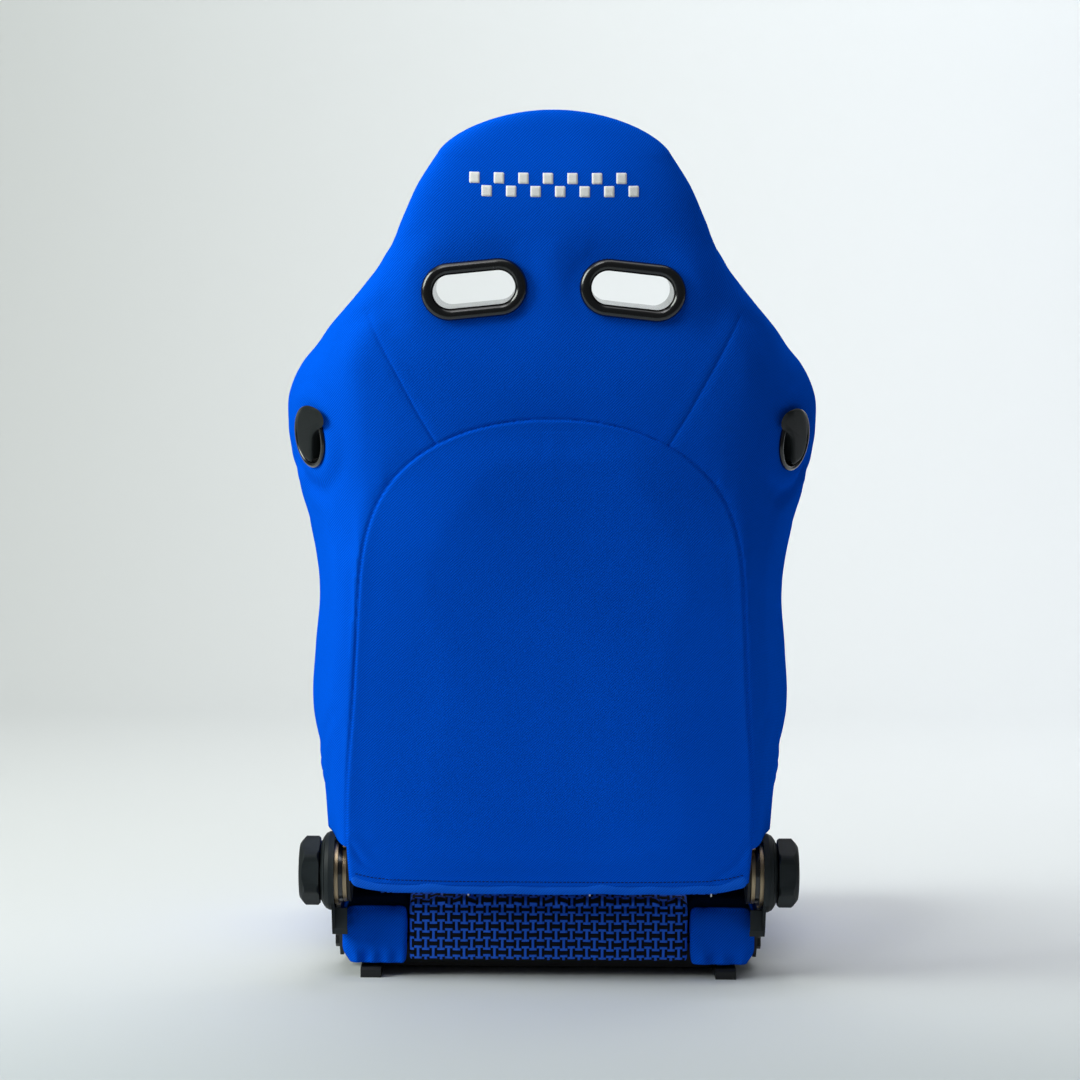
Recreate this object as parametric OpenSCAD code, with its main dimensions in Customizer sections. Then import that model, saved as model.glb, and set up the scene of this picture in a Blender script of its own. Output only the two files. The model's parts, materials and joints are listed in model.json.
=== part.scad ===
// Reclining sport seat: steel base, cushion, two geared recliners, folding backrest with harness slots.
// The seat faces -Y. Its origin is the centre of the four mounting holes, on the underside of the rails.

/* [Base] */
// Distance between the centre lines of the two side rails
rail_pitch = 382; // [376:1:384]
// Front to rear distance between the mounting holes
hole_pitch = 330; // [300:1:340]
// Radius of a mounting hole, for an M8 bolt
hole_r = 4.25; // [4.1:0.05:4.5]
// Height of a side rail
rail_h = 44; // [40:1:44]

/* [Backrest] */
// Height of the recline axis above the mounting plane
hinge_z = 117; // [115:1:125]
// Distance of the recline axis behind the centre of the mounting holes
hinge_y = 230; // [225:1:240]
// Backrest angle from vertical at rest
rest_tilt = 17; // [14:1:20]
// Radius of the bent frame tube
tube_r = 11; // [10:0.5:12]

/* [Recliner] */
// Radius of the moving recliner plates
hub_r = 33; // [31:1:34]
// Radius of the round recliner cover
cover_r = 42; // [40:1:43]
// Distance from the dial's centre to its corners
dial_r = 37; // [34:1:38]
// Radius of the drive shaft that joins the two dials
shaft_r = 6; // [5:0.5:7]

/* [Harness slots] */
// Distance of each slot's centre from the middle of the seat
slot_x = 78; // [76:1:80]
// Height of the slots above the recline axis, along the backrest
slot_s = 644; // [640:1:648]
// Inner radius of the slot's round ends
slot_r = 16.5; // [16:0.5:18]

/* [Hidden] */
$fn = 64;

blue = [0.02, 0.24, 0.62];
pattern_blue = [0.03, 0.10, 0.25];
black = [0.06, 0.07, 0.07];
foam = [0.75, 0.72, 0.62];
zinc = [0.58, 0.48, 0.34];
steel = [0.62, 0.63, 0.64];

// Rails, in the seat's own frame
rail_w = 22;
rail_wall = 2.5;
rail_front = -220;
rail_rear = 200;
rail_out = rail_pitch / 2 + rail_w / 2;

// Stack of the recliner from the middle of the seat outwards, x of each inner face and its thickness
bracket_x = 211;
bracket_t = 3;
arm_x = 215;
arm_t = 4;
case_x = 219.4;
case_t = 4.6;
plate_x = 224;
plate_t = 4;
cover_x = 228;
cover_depth = 15;
cover_wall = 2.5;
dial_x = 244.5;
dial_t = 21.5;
bush_r = 14;
run_gap = 0.06;

// Backrest outline, seen from behind: [height along the backrest, half width]
width_table = [[40, 237], [110, 244], [170, 250], [232, 248], [300, 243], [349, 245], [415, 257],
  [480, 271], [512, 272], [545, 263], [592, 227], [623, 202], [654, 179], [685, 161], [715, 147],
  [746, 133], [776, 113], [792, 95], [806, 64], [814, 24]];
// Depth of the rear face behind the recline axis: [height, depth]
rear_table = [[-10, 54], [200, 57], [400, 60], [520, 60], [600, 54], [650, 48], [700, 38], [750, 22],
  [790, 2], [814, -12]];
// Depth of the front of the centre section, of the side bolsters' tips and of the head section
front_table = [[20, -28], [60, -40], [130, -52], [250, -46], [400, -32], [520, -28], [600, -34]];
tip_table = [[40, -40], [80, -70], [130, -104], [200, -124], [300, -120], [400, -112], [480, -112],
  [540, -106], [600, -84]];
head_table = [[600, -72], [650, -60], [700, -50], [760, -40], [800, -28], [814, -20]];
// Half width of the rear face before it turns into the side, and of the arched rear panel
corner_table = [[40, 219], [110, 218], [230, 212], [340, 205], [480, 205], [560, 208], [600, 205]];
arch_table = [[-10, 211], [60, 213], [109, 212], [221, 203], [331, 196], [417, 178], [470, 151],
  [500, 114], [518, 64], [525, 20]];

back_bottom = 45;
head_bottom = 600;
centre_half = 149;
tube_x = 165;
tube_d = 33;
foam_back = 18;
channel_x = 198;
pocket_x = 220.5;
pocket_top = 128;
pocket_front = -56;
panel_t = 3;

// Shoulder levers: place on the side of the backrest, and lean of the side face
lever_x = 245;
lever_d = -8;
lever_s = 484;
lever_lean = 31;
cup_r = 32;
spindle_r = 6;

// Latch pawls: pin and nose, as [depth, height]
pawl_pin = [-14, 58];
pawl_nose = [12, 36];
pin_r = 4;

// Route of each release cable in the backrest: [x, depth, height]
cable_path = [[200, -35, 484], [197, -16, 482], [193, 6, 475], [189, 24, 464], [187, 32, 445],
  [187, 33, 400], [187, 33, 300], [187, 33, 200], [187, 33, 160], [188, 24, 135], [191, 16, 118],
  [197, 8, 104], [202, 0, 92], [206, -8, 80]];
cable_r = 2.5;

// Hooks that hold the hem down, at one pitch from the first on the left
hook_pitch = 128;
hook_first = 85;

// Straight half length of a harness slot
slot_half = 24;
// Harness bezels: radius of the round rim and its distance along the slot
rear_rim = 6;
rear_seat = 42;
front_rim = 5;
front_seat = 50;

// Bolts of the base plates to the rails, from the recline axis: [y, z]
spacer_places = [[-90, -89], [-165, -89]];

// Hem of the rear panel: its lower edge and height
hem_s = 1;
hem_h = 12;

function seg(t, s, i = 0) = i >= len(t) - 2 || s < t[i + 1][0] ? i : seg(t, s, i + 1);
// Smooth value of a [place, value] table, as a cubic between its points
function at(t, s) =
  let (i = seg(t, s), a = t[max(i - 1, 0)], b = t[i], c = t[i + 1], d = t[min(i + 2, len(t) - 1)],
    h = c[0] - b[0], u = max(0, min(1, (s - b[0]) / h)),
    mb = (c[1] - a[1]) / (c[0] - a[0]) * h, mc = (d[1] - b[1]) / (d[0] - b[0]) * h)
  (2*u^3 - 3*u^2 + 1) * b[1] + (u^3 - 2*u^2 + u) * mb + (3*u^2 - 2*u^3) * c[1] + (u^3 - u^2) * mc;

// Evenly spaced heights from a to b
function steps(a, b, n) = [for (i = [0:n]) a + (b - a) * i / n];

// Closed solid through rings of points, each ring counter-clockwise seen from above
module loft(rings) {
  n = len(rings[0]);
  m = len(rings);
  polyhedron(
    points = [for (r = rings) each r],
    faces = concat(
      [[for (k = [0:n - 1]) k]],
      [[for (k = [n - 1:-1:0]) (m - 1) * n + k]],
      [for (i = [0:m - 2], k = [0:n - 1])
        let (a = i * n + k, b = i * n + (k + 1) % n) each [[a, a + n, b], [b, a + n, b + n]]]));
}

function unit(v) = v / norm(v);
// Path with its corners rounded, each from a distance d before it to a distance d after it
function rounded(p, d) = [p[0],
  for (i = [1:len(p) - 2])
    let (a = p[i] + d * unit(p[i - 1] - p[i]), b = p[i] + d * unit(p[i + 1] - p[i]))
    for (u = [0:0.25:1]) (1 - u)^2 * a + 2 * u * (1 - u) * p[i] + u^2 * b,
  p[len(p) - 1]];

// Ring of points round a path's point i, square to the path
function ring(path, i, r, sides, ref) =
  let (t = unit(path[min(i + 1, len(path) - 1)] - path[max(i - 1, 0)]),
    u = unit(cross(t, ref)), v = cross(t, u))
  [for (k = [0:sides - 1]) path[i] + r * (cos(360 * k / sides) * u + sin(360 * k / sides) * v)];

module tube(path, r, sides, ref) {
  loft([for (i = [0:len(path) - 1]) ring(path, i, r, sides, ref)]);
}

// Tube with a wall, open at both ends
module pipe(path, r, wall, sides, ref) {
  m = len(path);
  n = sides;
  polyhedron(
    points = [for (q = [r, r - wall], i = [0:m - 1]) each ring(path, i, q, n, ref)],
    faces = concat(
      [for (w = [0, 1], i = [0:m - 2], k = [0:n - 1])
        let (o = w * m * n + i * n, a = o + k, b = o + (k + 1) % n)
        each w == 0 ? [[a, a + n, b], [b, a + n, b + n]] : [[a, b, a + n], [b, b + n, a + n]]],
      [for (e = [0, 1], k = [0:n - 1])
        let (o = e * (m - 1) * n, a = o + k, b = o + (k + 1) % n, c = a + m * n, d = b + m * n)
        each e == 0 ? [[a, b, c], [b, d, c]] : [[a, c, b], [b, c, d]]]));
}

// Rod between two points
module rod(a, b, r) {
  v = b - a;
  translate(a)
    rotate([0, acos(v[2] / norm(v)), atan2(v[1], v[0])])
      cylinder(r = r, h = norm(v));
}

// The left half as drawn, or its mirror image for the right
module on_side(side) {
  mirror([side < 0 ? 1 : 0, 0, 0]) children();
}

// Backrest frame: x across, y to the rear, z up along the backrest from the recline axis
module in_back() {
  translate([0, hinge_y, hinge_z]) rotate([-rest_tilt, 0, 0]) children();
}

// Frame at the recline axis, not tilted
module at_hinge() {
  translate([0, hinge_y, hinge_z]) children();
}

// Extrudes a [y, z] outline outwards from x = x0
module plate(x0, t) {
  translate([x0, 0, 0]) rotate([90, 0, 90]) linear_extrude(t) children();
}

// Cylinder along x
module bar_x(x0, x1, r) {
  translate([x0, 0, 0]) rotate([0, 90, 0]) cylinder(r = r, h = x1 - x0);
}

// ---- Base ----

// Square tube with a low toe behind it
module side_rail(side) {
  color(black) on_side(side) {
    plate(rail_out - rail_w, rail_w)
      polygon([[rail_rear - 10, 0], [rail_rear + 22, 0], [rail_rear + 22, 8], [rail_rear + 19, 11],
        [rail_rear, 11], [rail_rear, rail_wall], [rail_rear - 10, rail_wall]]);
    difference() {
      translate([rail_out - rail_w, rail_front, 0]) cube([rail_w, rail_rear - rail_front, rail_h]);
      translate([rail_out - rail_w + rail_wall, rail_front - 1, rail_wall])
        cube([rail_w - 2 * rail_wall, rail_rear - rail_front + 2, rail_h - 2 * rail_wall]);
      for (y = [-hole_pitch / 2, hole_pitch / 2])
        translate([rail_pitch / 2, y, -1]) cylinder(r = hole_r, h = rail_wall + 2);
    }
  }
}

module mounting_nuts() {
  nut_across = 13;
  nut_h = 6.5;
  color(steel)
    for (x = [-rail_pitch / 2, rail_pitch / 2], y = [-hole_pitch / 2, hole_pitch / 2])
      translate([x, y, rail_wall])
        difference() {
          cylinder(r = nut_across / sqrt(3), h = nut_h, $fn = 6);
          translate([0, 0, -1]) cylinder(r = hole_r, h = nut_h + 2);
        }
}

module front_crossbar() {
  color(black)
    translate([0, rail_front + 30, 22])
      difference() {
        bar_x(-(rail_out - rail_w), rail_out - rail_w, 12);
        bar_x(-rail_pitch, rail_pitch, 10);
      }
}

module rear_crossbar() {
  bar_h = 26;
  color(black)
    translate([-(rail_out - rail_w), rail_rear - 42, 4])
      difference() {
        cube([2 * (rail_out - rail_w), 14, bar_h]);
        translate([-1, 2, 2]) cube([2 * rail_pitch, 10, bar_h - 4]);
      }
}

// Pressed tray that carries the cushion, with two round drain holes
module seat_pan() {
  pan_t = 2;
  color(black)
    difference() {
      union() {
        translate([-rail_out, rail_front + 6, rail_h])
          cube([2 * rail_out, rail_rear - rail_front - 10, pan_t]);
        for (y = [rail_front + 80, 0, rail_rear - 60])
          translate([-rail_pitch / 2 + rail_w, y, rail_h - 8]) cube([rail_pitch - 2 * rail_w, 16, 8]);
      }
      for (y = [-70, 60]) translate([0, y, rail_h - 10]) cylinder(r = 20, h = 20);
    }
}

// ---- Cushion ----

module cushion_centre() {
  color(pattern_blue)
    translate([0, hinge_y, 0])
      plate(-centre_half + 0.3, 2 * centre_half - 0.6)
        polygon([[-8, 17], [-8, 78], [-16, 90], [-45, 103], [-110, 108], [-200, 122], [-300, 148],
          [-380, 170], [-430, 177], [-430, 47], [-22, 47], [-22, 17]]);
}

module cushion_bolster(side) {
  color(blue) on_side(side)
    difference() {
      translate([0, hinge_y, 0]) {
        plate(centre_half, 222 - centre_half)
          polygon([[-6, 15], [-6, 60], [-15, 82], [-62, 107], [-106, 125], [-153, 145], [-214, 174],
            [-265, 199], [-330, 219], [-400, 222], [-430, 218], [-430, 47], [-22, 47], [-22, 15]]);
        plate(222, 24)
          polygon([[-165, 108], [-185, 135], [-214, 158], [-265, 184], [-330, 206], [-400, 212],
            [-430, 208], [-430, 70], [-262, 70], [-245, 78]]);
      }
      at_hinge() bar_x(bracket_x - 3, 260, hub_r + 8);
    }
}

module cushion_nose() {
  color(blue)
    translate([0, hinge_y, 0]) {
      plate(-centre_half, 2 * centre_half)
        polygon([[-430.4, 47], [-430.4, 178], [-462, 172], [-488, 150], [-498, 112], [-490, 62], [-468, 36],
          [-452, 36], [-452, 47]]);
      for (side = [-1, 1]) on_side(side)
      {
        plate(centre_half, 222 - centre_half)
          polygon([[-430.4, 47], [-430.4, 216], [-462, 202], [-486, 168], [-496, 120], [-489, 66],
            [-468, 36], [-452, 36], [-452, 47]]);
        plate(222, 24)
          polygon([[-430.4, 70], [-430.4, 206], [-456, 192], [-476, 160], [-484, 118], [-476, 80],
            [-460, 62], [-440, 62]]);
      }
    }
}

// ---- Recliner, fixed side ----

module recliner_base_plate(side) {
  color(zinc) on_side(side)
    at_hinge()
      difference() {
        plate(plate_x, plate_t)
          difference() {
            union() {
              circle(r = hub_r + 3);
              polygon([[33, -14], [-18, 31], [-64, 6], [-182, -72], [-182, -104], [-72, -104], [-8, -35]]);
            }
            for (p = spacer_places) translate(p) circle(r = 5.2);
          }
        bar_x(200, 260, bush_r);
      }
}

module recliner_gear_case(side) {
  color(steel) on_side(side)
    at_hinge()
      difference() {
        bar_x(case_x, case_x + case_t, hub_r);
        bar_x(200, 260, bush_r);
      }
}

module recliner_bush(side) {
  color(steel) on_side(side)
    at_hinge()
      difference() {
        bar_x(bracket_x - 2, plate_x + plate_t, bush_r);
        bar_x(200, 260, shaft_r + run_gap);
      }
}

// Flat spiral that pulls the backrest upright, inside the round cover
module return_spring(side) {
  turns = 3.5;
  inner = 16;
  pitch = 4.6;
  strip = 1.6;
  a_step = 15;
  spiral = [for (a = [0:a_step:turns * 360]) [a, inner + pitch * a / 360]];
  color(steel) on_side(side)
    at_hinge()
      plate(cover_x, 6)
        polygon(concat(
          [for (p = spiral) (p[1] + strip) * [cos(p[0]), sin(p[0])]],
          [for (i = [len(spiral) - 1:-1:0]) spiral[i][1] * [cos(spiral[i][0]), sin(spiral[i][0])]]));
}

module bracket_spacers() {
  color(steel)
    for (side = [-1, 1], p = spacer_places) on_side(side)
      at_hinge() translate([0, p[0], p[1]])
        difference() {
          bar_x(rail_out, plate_x, 10);
          bar_x(rail_out - 1, plate_x + 1, 5.2);
        }
}

module bracket_bolts() {
  color(steel)
    for (side = [-1, 1], p = spacer_places) on_side(side)
      at_hinge() translate([0, p[0], p[1]]) {
        bar_x(rail_out, plate_x + plate_t, 5);
        translate([plate_x + plate_t, 0, 0]) rotate([0, 90, 0]) cylinder(r = 9.2, h = 6, $fn = 6);
      }
}

// Plastic cover: round dome over the recliner, and a tail forward along the cushion's side
module side_cover(side) {
  tail_end = [-228, -50];
  tail_r = 14;
  color(black) on_side(side)
    at_hinge()
      difference() {
        union() {
          rotate([0, 90, 0])
            rotate_extrude()
              polygon([[0, cover_x], [cover_r, cover_x], [cover_r, cover_x + 6],
                [cover_r - 2, cover_x + 10], [cover_r - 6, cover_x + 13],
                [cover_r - 10, cover_x + cover_depth], [0, cover_x + cover_depth]]);
          plate(cover_x, 3) {
            polygon([[28, -31], [-20, 37], [-50, 12], [tail_end[0] + 5, tail_end[1] + tail_r],
              [tail_end[0], tail_end[1] - tail_r], [10, -67], [16, -60]]);
            translate(tail_end) circle(r = tail_r);
          }
          plate(215, cover_x - 215)
            polygon([[4, -67], [10, -67], [16, -60], [16, -38],
              [12.5, -38], [12.5, -58], [8, -63.5], [4, -63.5]]);
        }
        rotate([0, 90, 0])
          translate([0, 0, cover_x - 1])
            cylinder(r = cover_r - cover_wall, h = cover_depth - 4 + 1);
        bar_x(200, 260, shaft_r + 2);
      }
}

// ---- Recliner, moving side ----

// Hub plate with a notch for the latch, turned with the backrest by the dials
module recliner_arm(side) {
  color(zinc) on_side(side)
    in_back()
      plate(arm_x, arm_t)
        difference() {
          circle(r = hub_r);
          circle(r = bush_r + run_gap);
          rotate(-atan2(pawl_nose[0], pawl_nose[1])) translate([-4, hub_r - 5]) square([8, 10]);
        }
}

module drive_shaft() {
  color(steel) at_hinge() bar_x(-(dial_x + 13), dial_x + 13, shaft_r);
}

// Six-sided dial with round corners and a bevelled outer face
module recline_dial(side) {
  corner_r = 9;
  turn = 4;
  core = dial_r - corner_r;
  color(black) on_side(side)
    at_hinge()
      difference() {
        intersection() {
          plate(dial_x, dial_t)
            rotate(turn) {
              polygon([for (i = [0:5], e = [-30, 30])
                core * [cos(60 * i + 30), sin(60 * i + 30)]
                  + corner_r * [cos(60 * i + 30 + e), sin(60 * i + 30 + e)]]);
              for (i = [0:5]) rotate(60 * i + 30) translate([core, 0]) circle(r = corner_r);
            }
          rotate([0, 90, 0])
            rotate_extrude()
              polygon([[0, dial_x], [dial_r - 2, dial_x], [dial_r + 1, dial_x + 3],
                [dial_r + 1, dial_x + 14], [dial_r - 5, dial_x + 19.5], [dial_r - 8, dial_x + dial_t],
                [0, dial_x + dial_t]]);
        }
        bar_x(200, dial_x + 13, shaft_r);
      }
}

// ---- Backrest frame ----

hoop_half = [[tube_x, tube_d, 112], [tube_x, tube_d, 575], [150, 24, 650], [118, 10, 712], [60, 0, 745]];
hoop_path = rounded(concat(hoop_half, [for (i = [len(hoop_half) - 1:-1:0])
  [-hoop_half[i][0], hoop_half[i][1], hoop_half[i][2]]]), 24);

module back_hoop() {
  color(black) in_back() pipe(hoop_path, tube_r, 1.6, 14, [0, 1, 0]);
}

module back_lower_tube() {
  color(black) in_back() translate([0, tube_d, 108]) bar_x(-150, 150, 8);
}

// Side plate that pivots on the bush, with a foot for the frame tube
module back_bracket(side) {
  color(steel) on_side(side)
    in_back()
      difference() {
        union() {
          plate(bracket_x, bracket_t) {
            circle(r = hub_r);
            polygon([[-26, 12], [-24, 70], [-10, 112], [46, 112], [46, 90], [30, 12]]);
          }
          translate([150, 22, 104]) cube([bracket_x - 150 + 1, 24, 8]);
        }
        bar_x(200, 260, bush_r + run_gap);
        translate([0, pawl_pin[0], pawl_pin[1]]) bar_x(200, 260, pin_r);
      }
}

// Wire mat that supports the lower back
module lumbar_mat() {
  wire_r = 2;
  color(steel)
    in_back() {
      for (s = [170:60:410]) translate([0, tube_d, s]) bar_x(-(tube_x - tube_r), tube_x - tube_r, wire_r);
      for (x = [-90, 0, 90]) translate([x, tube_d, 160]) cylinder(r = wire_r, h = 260);
    }
}

module pawl_pins() {
  color(steel)
    for (side = [-1, 1]) on_side(side)
      in_back() translate([0, pawl_pin[0], pawl_pin[1]]) bar_x(bracket_x, arm_x + arm_t, pin_r);
}

// Latch pawl, its nose just clear of the arm's notch
module latch_pawl(side) {
  d = pawl_nose - pawl_pin;
  color(zinc) on_side(side)
    in_back()
      plate(arm_x, arm_t)
        difference() {
          union() {
            translate(pawl_pin) circle(r = 8);
            translate(pawl_nose) circle(r = 3.6);
            translate(pawl_pin) rotate(atan2(d[1], d[0]))
              polygon([[0, -7.6], [norm(d), -3.6], [norm(d), 3.6], [0, 7.6]]);
            translate(pawl_pin) rotate(118) translate([0, -4]) square([24, 8]);
          }
          translate(pawl_pin) circle(r = pin_r + run_gap);
        }
}

// ---- Backrest foam and covers ----

module back_centre_foam() {
  half = centre_half - 0.3;
  low_half = 184;
  color(foam)
    in_back()
      loft([for (e = concat([[22, low_half], [60, low_half], [pocket_top - 1, low_half]],
          [for (s = steps(pocket_top - 0.9, head_bottom - 0.4, 10)) [s, half]]))
        let (s = e[0], h = e[1], f = at(front_table, s))
        [[-h, f + 8, s], [-90, f, s], [90, f, s], [h, f + 8, s], [h, foam_back, s], [-h, foam_back, s]]]);
}

// Outline of a side bolster at height s, counter-clockwise from the inner front edge
function bolster_ring(s) =
  let (w = at(width_table, s), t = at(tip_table, s), f = at(front_table, s) + 8,
    r = at(rear_table, s) - 4, c = at(corner_table, s), in = foam_back)
  [[centre_half, f, s], [centre_half + 24, f * 0.6 + t * 0.4, s], [w - 44, t + 6, s], [w - 26, t, s],
    [w - 10, t * 0.9, s], [w, t * 0.66, s], [w * 0.6 + c * 0.4, t * 0.1 + r * 0.05, s],
    [c + 8, r - 16, s], [c - 2, r - 3, s], [c - 8, r, s], [channel_x, r, s], [channel_x, in, s],
    [centre_half, in, s]];

module at_lever() {
  translate([lever_x, lever_d, lever_s]) rotate([0, 90, lever_lean]) children();
}

module back_bolster(side) {
  color(blue) on_side(side)
    in_back()
      difference() {
        loft([for (s = concat([back_bottom, 60, 80, 105, 140, 200], steps(260, head_bottom - 0.4, 10)))
          bolster_ring(s)]);
        translate([centre_half - 5, pocket_front, back_bottom - 5])
          cube([pocket_x - centre_half + 5, 200, pocket_top - back_bottom + 5]);
        at_lever() {
          translate([0, 0, -13]) cylinder(r = cup_r + 0.3, h = 60);
          translate([0, 0, -48]) cylinder(r = 9, h = 40);
        }
        rod([200, -38, 484], [186, 30, 464], 8.5);
      }
}

function head_ring(s) =
  let (w = at(width_table, s), r = at(rear_table, s), f = at(head_table, s),
    m = (r + f) / 2, h = (r - f) / 2, n = 28)
  [for (k = [0:n - 1]) let (a = 360 * k / n, c = cos(a), d = sin(a))
    [w * sign(c) * pow(abs(c), 0.75), m + h * sign(d) * pow(abs(d), 0.6), s]];

// Frame of a harness slot, z out of the rear face
module at_slot() {
  translate([slot_x, 4, slot_s]) rotate([-78, 0, 0]) rotate([0, 0, 6]) children();
}

// Solid of revolution ends and straight sides that share one [radius, height] profile
module stadium() {
  for (e = [-1, 1])
    translate([e * slot_half, 0, 0])
      rotate([0, 0, e > 0 ? -90 : 90]) rotate_extrude(angle = 180) children();
  for (e = [-1, 1])
    rotate([0, 0, e > 0 ? 0 : 180])
      translate([slot_half, 0, 0])
        rotate([90, 0, -90]) linear_extrude(2 * slot_half) children();
}

module stadium_block(r, z0, z1) {
  translate([0, 0, z0]) linear_extrude(z1 - z0) {
    for (e = [-1, 1]) translate([e * slot_half, 0]) circle(r = r);
    square([2 * slot_half, 2 * r], center = true);
  }
}

module headrest_foam() {
  color(blue)
    in_back()
      difference() {
        loft([for (s = concat(steps(head_bottom, 776, 8), [792, 804, 814])) head_ring(s)]);
        for (side = [-1, 1]) on_side(side) at_slot() {
          stadium_block(slot_r + 3, -90, 90);
          stadium_block(slot_r + 2 * rear_rim + 0.4, rear_seat - rear_rim - 0.5, 90);
          stadium_block(slot_r + 2 * front_rim + 0.4, -90, front_rim - front_seat + 1);
        }
        tube(hoop_path, tube_r + 0.4, 14, [0, 1, 0]);
      }
}

// Ring with a round rim and half of the tunnel through the backrest
module bezel_profile(rim, z_seat) {
  translate([slot_r + rim, z_seat]) circle(r = rim);
  translate([slot_r, 0.1]) square([2.6, z_seat]);
}

module harness_bezel_rear(side) {
  color(black) on_side(side) in_back() at_slot() stadium() bezel_profile(rear_rim, rear_seat);
}

module harness_bezel_front(side) {
  color(black) on_side(side)
    in_back() at_slot() mirror([0, 0, 1]) stadium() bezel_profile(front_rim, front_seat);
}

// Thin sheet that follows the rear face between half widths given by a table
module rear_sheet(table, s0, s1, n) {
  color(blue)
    loft([for (s = steps(s0, s1, n)) let (a = at(table, s), r = at(rear_table, s))
      [[-a, r - panel_t, s], [a, r - panel_t, s], [a, r, s], [-a, r, s]]]);
}

module rear_panel() {
  color(blue) in_back() rear_sheet(arch_table, hem_s + hem_h, 525, 22);
}

module upper_back_panel() {
  edge = [[300, 197], [600, 197]];
  color(blue)
    in_back()
      difference() {
        rear_sheet(edge, 372, head_bottom - 0.4, 12);
        translate([0, 100, 0]) rotate([90, 0, 0]) linear_extrude(100)
          polygon(concat([for (s = steps(360, 525, 14)) [at(arch_table, s) + 0.6, s]],
            [[20, 525.8], [-20, 525.8]],
            [for (s = steps(525, 360, 14)) [-at(arch_table, s) - 0.6, s]]));
      }
}

module rear_panel_hem() {
  color(blue)
    in_back()
      translate([0, 0, hem_s])
        linear_extrude(hem_h) polygon([[-211, 49.6], [211, 49.6], [211, 55.2], [-211, 55.2]]);
}

// Wire hooks from the hem to the frame
module hem_hooks() {
  color(steel)
    in_back()
      for (i = [0:2]) translate([hook_first - i * hook_pitch, 52.4, hem_s - 3]) {
        cylinder(r = 1, h = 3);
        translate([0, -3, 0]) rotate([-90, 0, 0]) cylinder(r = 1, h = 3);
      }
}

// ---- Release levers ----

module lever_escutcheon(side) {
  color(black) on_side(side)
    in_back() at_lever()
      rotate_extrude() {
        polygon([[spindle_r + run_gap, -12.5], [cup_r - 1, -12.5], [cup_r, 0], [cup_r, 2], [cup_r - 5, 2],
          [cup_r - 5, -9.5], [spindle_r + run_gap, -9.5]]);
        translate([cup_r - 2.5, 2]) circle(r = 2.5);
      }
}

// Half-moon paddle with a hooked upper end, on a spindle that carries the cable cam
module release_lever(side) {
  paddle_r = cup_r - 5.6;
  color(black) on_side(side)
    in_back() at_lever() {
      translate([0, 0, -9.2])
        linear_extrude(23)
          union() {
            difference() {
              circle(r = paddle_r);
              translate([-40, 1]) square([80, 40]);
              translate([6, 8]) circle(r = 11);
            }
            intersection() {
              circle(r = paddle_r);
              translate([-paddle_r, -4]) square([11, 18]);
            }
          }
      translate([0, 0, -9.2]) cylinder(r = 10, h = 9);
      translate([0, 0, -44]) cylinder(r = spindle_r, h = 35);
      translate([0, 0, -44]) cylinder(r = 8.4, h = 4);
    }
}

module release_cable(side) {
  color(black) on_side(side) in_back() tube(cable_path, cable_r, 8, [1, 0, 0]);
}

side_rail(1);  // side_rail_left
side_rail(-1);  // side_rail_right
front_crossbar();
rear_crossbar();
seat_pan();
mounting_nuts();
cushion_centre();
cushion_bolster(1);  // cushion_bolster_left
cushion_bolster(-1);  // cushion_bolster_right
cushion_nose();
recliner_base_plate(1);  // recliner_base_plate_left
recliner_base_plate(-1);  // recliner_base_plate_right
recliner_gear_case(1);  // recliner_gear_case_left
recliner_gear_case(-1);  // recliner_gear_case_right
recliner_bush(1);  // recliner_bush_left
recliner_bush(-1);  // recliner_bush_right
return_spring(1);  // return_spring_left
return_spring(-1);  // return_spring_right
side_cover(1);  // side_cover_left
side_cover(-1);  // side_cover_right
bracket_spacers();
bracket_bolts();
recliner_arm(1);  // recliner_arm_left
recliner_arm(-1);  // recliner_arm_right
back_hoop();
back_lower_tube();
back_bracket(1);  // back_bracket_left
back_bracket(-1);  // back_bracket_right
lumbar_mat();
back_centre_foam();
back_bolster(1);  // back_bolster_left
back_bolster(-1);  // back_bolster_right
headrest_foam();
rear_panel();
upper_back_panel();
rear_panel_hem();
hem_hooks();
harness_bezel_rear(1);  // harness_bezel_rear_left
harness_bezel_rear(-1);  // harness_bezel_rear_right
harness_bezel_front(1);  // harness_bezel_front_left
harness_bezel_front(-1);  // harness_bezel_front_right
lever_escutcheon(1);  // lever_escutcheon_left
lever_escutcheon(-1);  // lever_escutcheon_right
release_cable(1);  // release_cable_left
release_cable(-1);  // release_cable_right
pawl_pins();
latch_pawl(1);  // latch_pawl_left
latch_pawl(-1);  // latch_pawl_right
release_lever(1);  // release_lever_left
release_lever(-1);  // release_lever_right
drive_shaft();
recline_dial(1);  // recline_dial_left
recline_dial(-1);  // recline_dial_right
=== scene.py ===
"""Looks of the reclining sport seat: knit covers, patterned inserts, trim, recliners, studio and camera."""
import json
import math

from contextlib import contextmanager

import bmesh
import bpy
import numpy as np
from mathutils import Matrix, Vector
from mathutils.bvhtree import BVHTree


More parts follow.
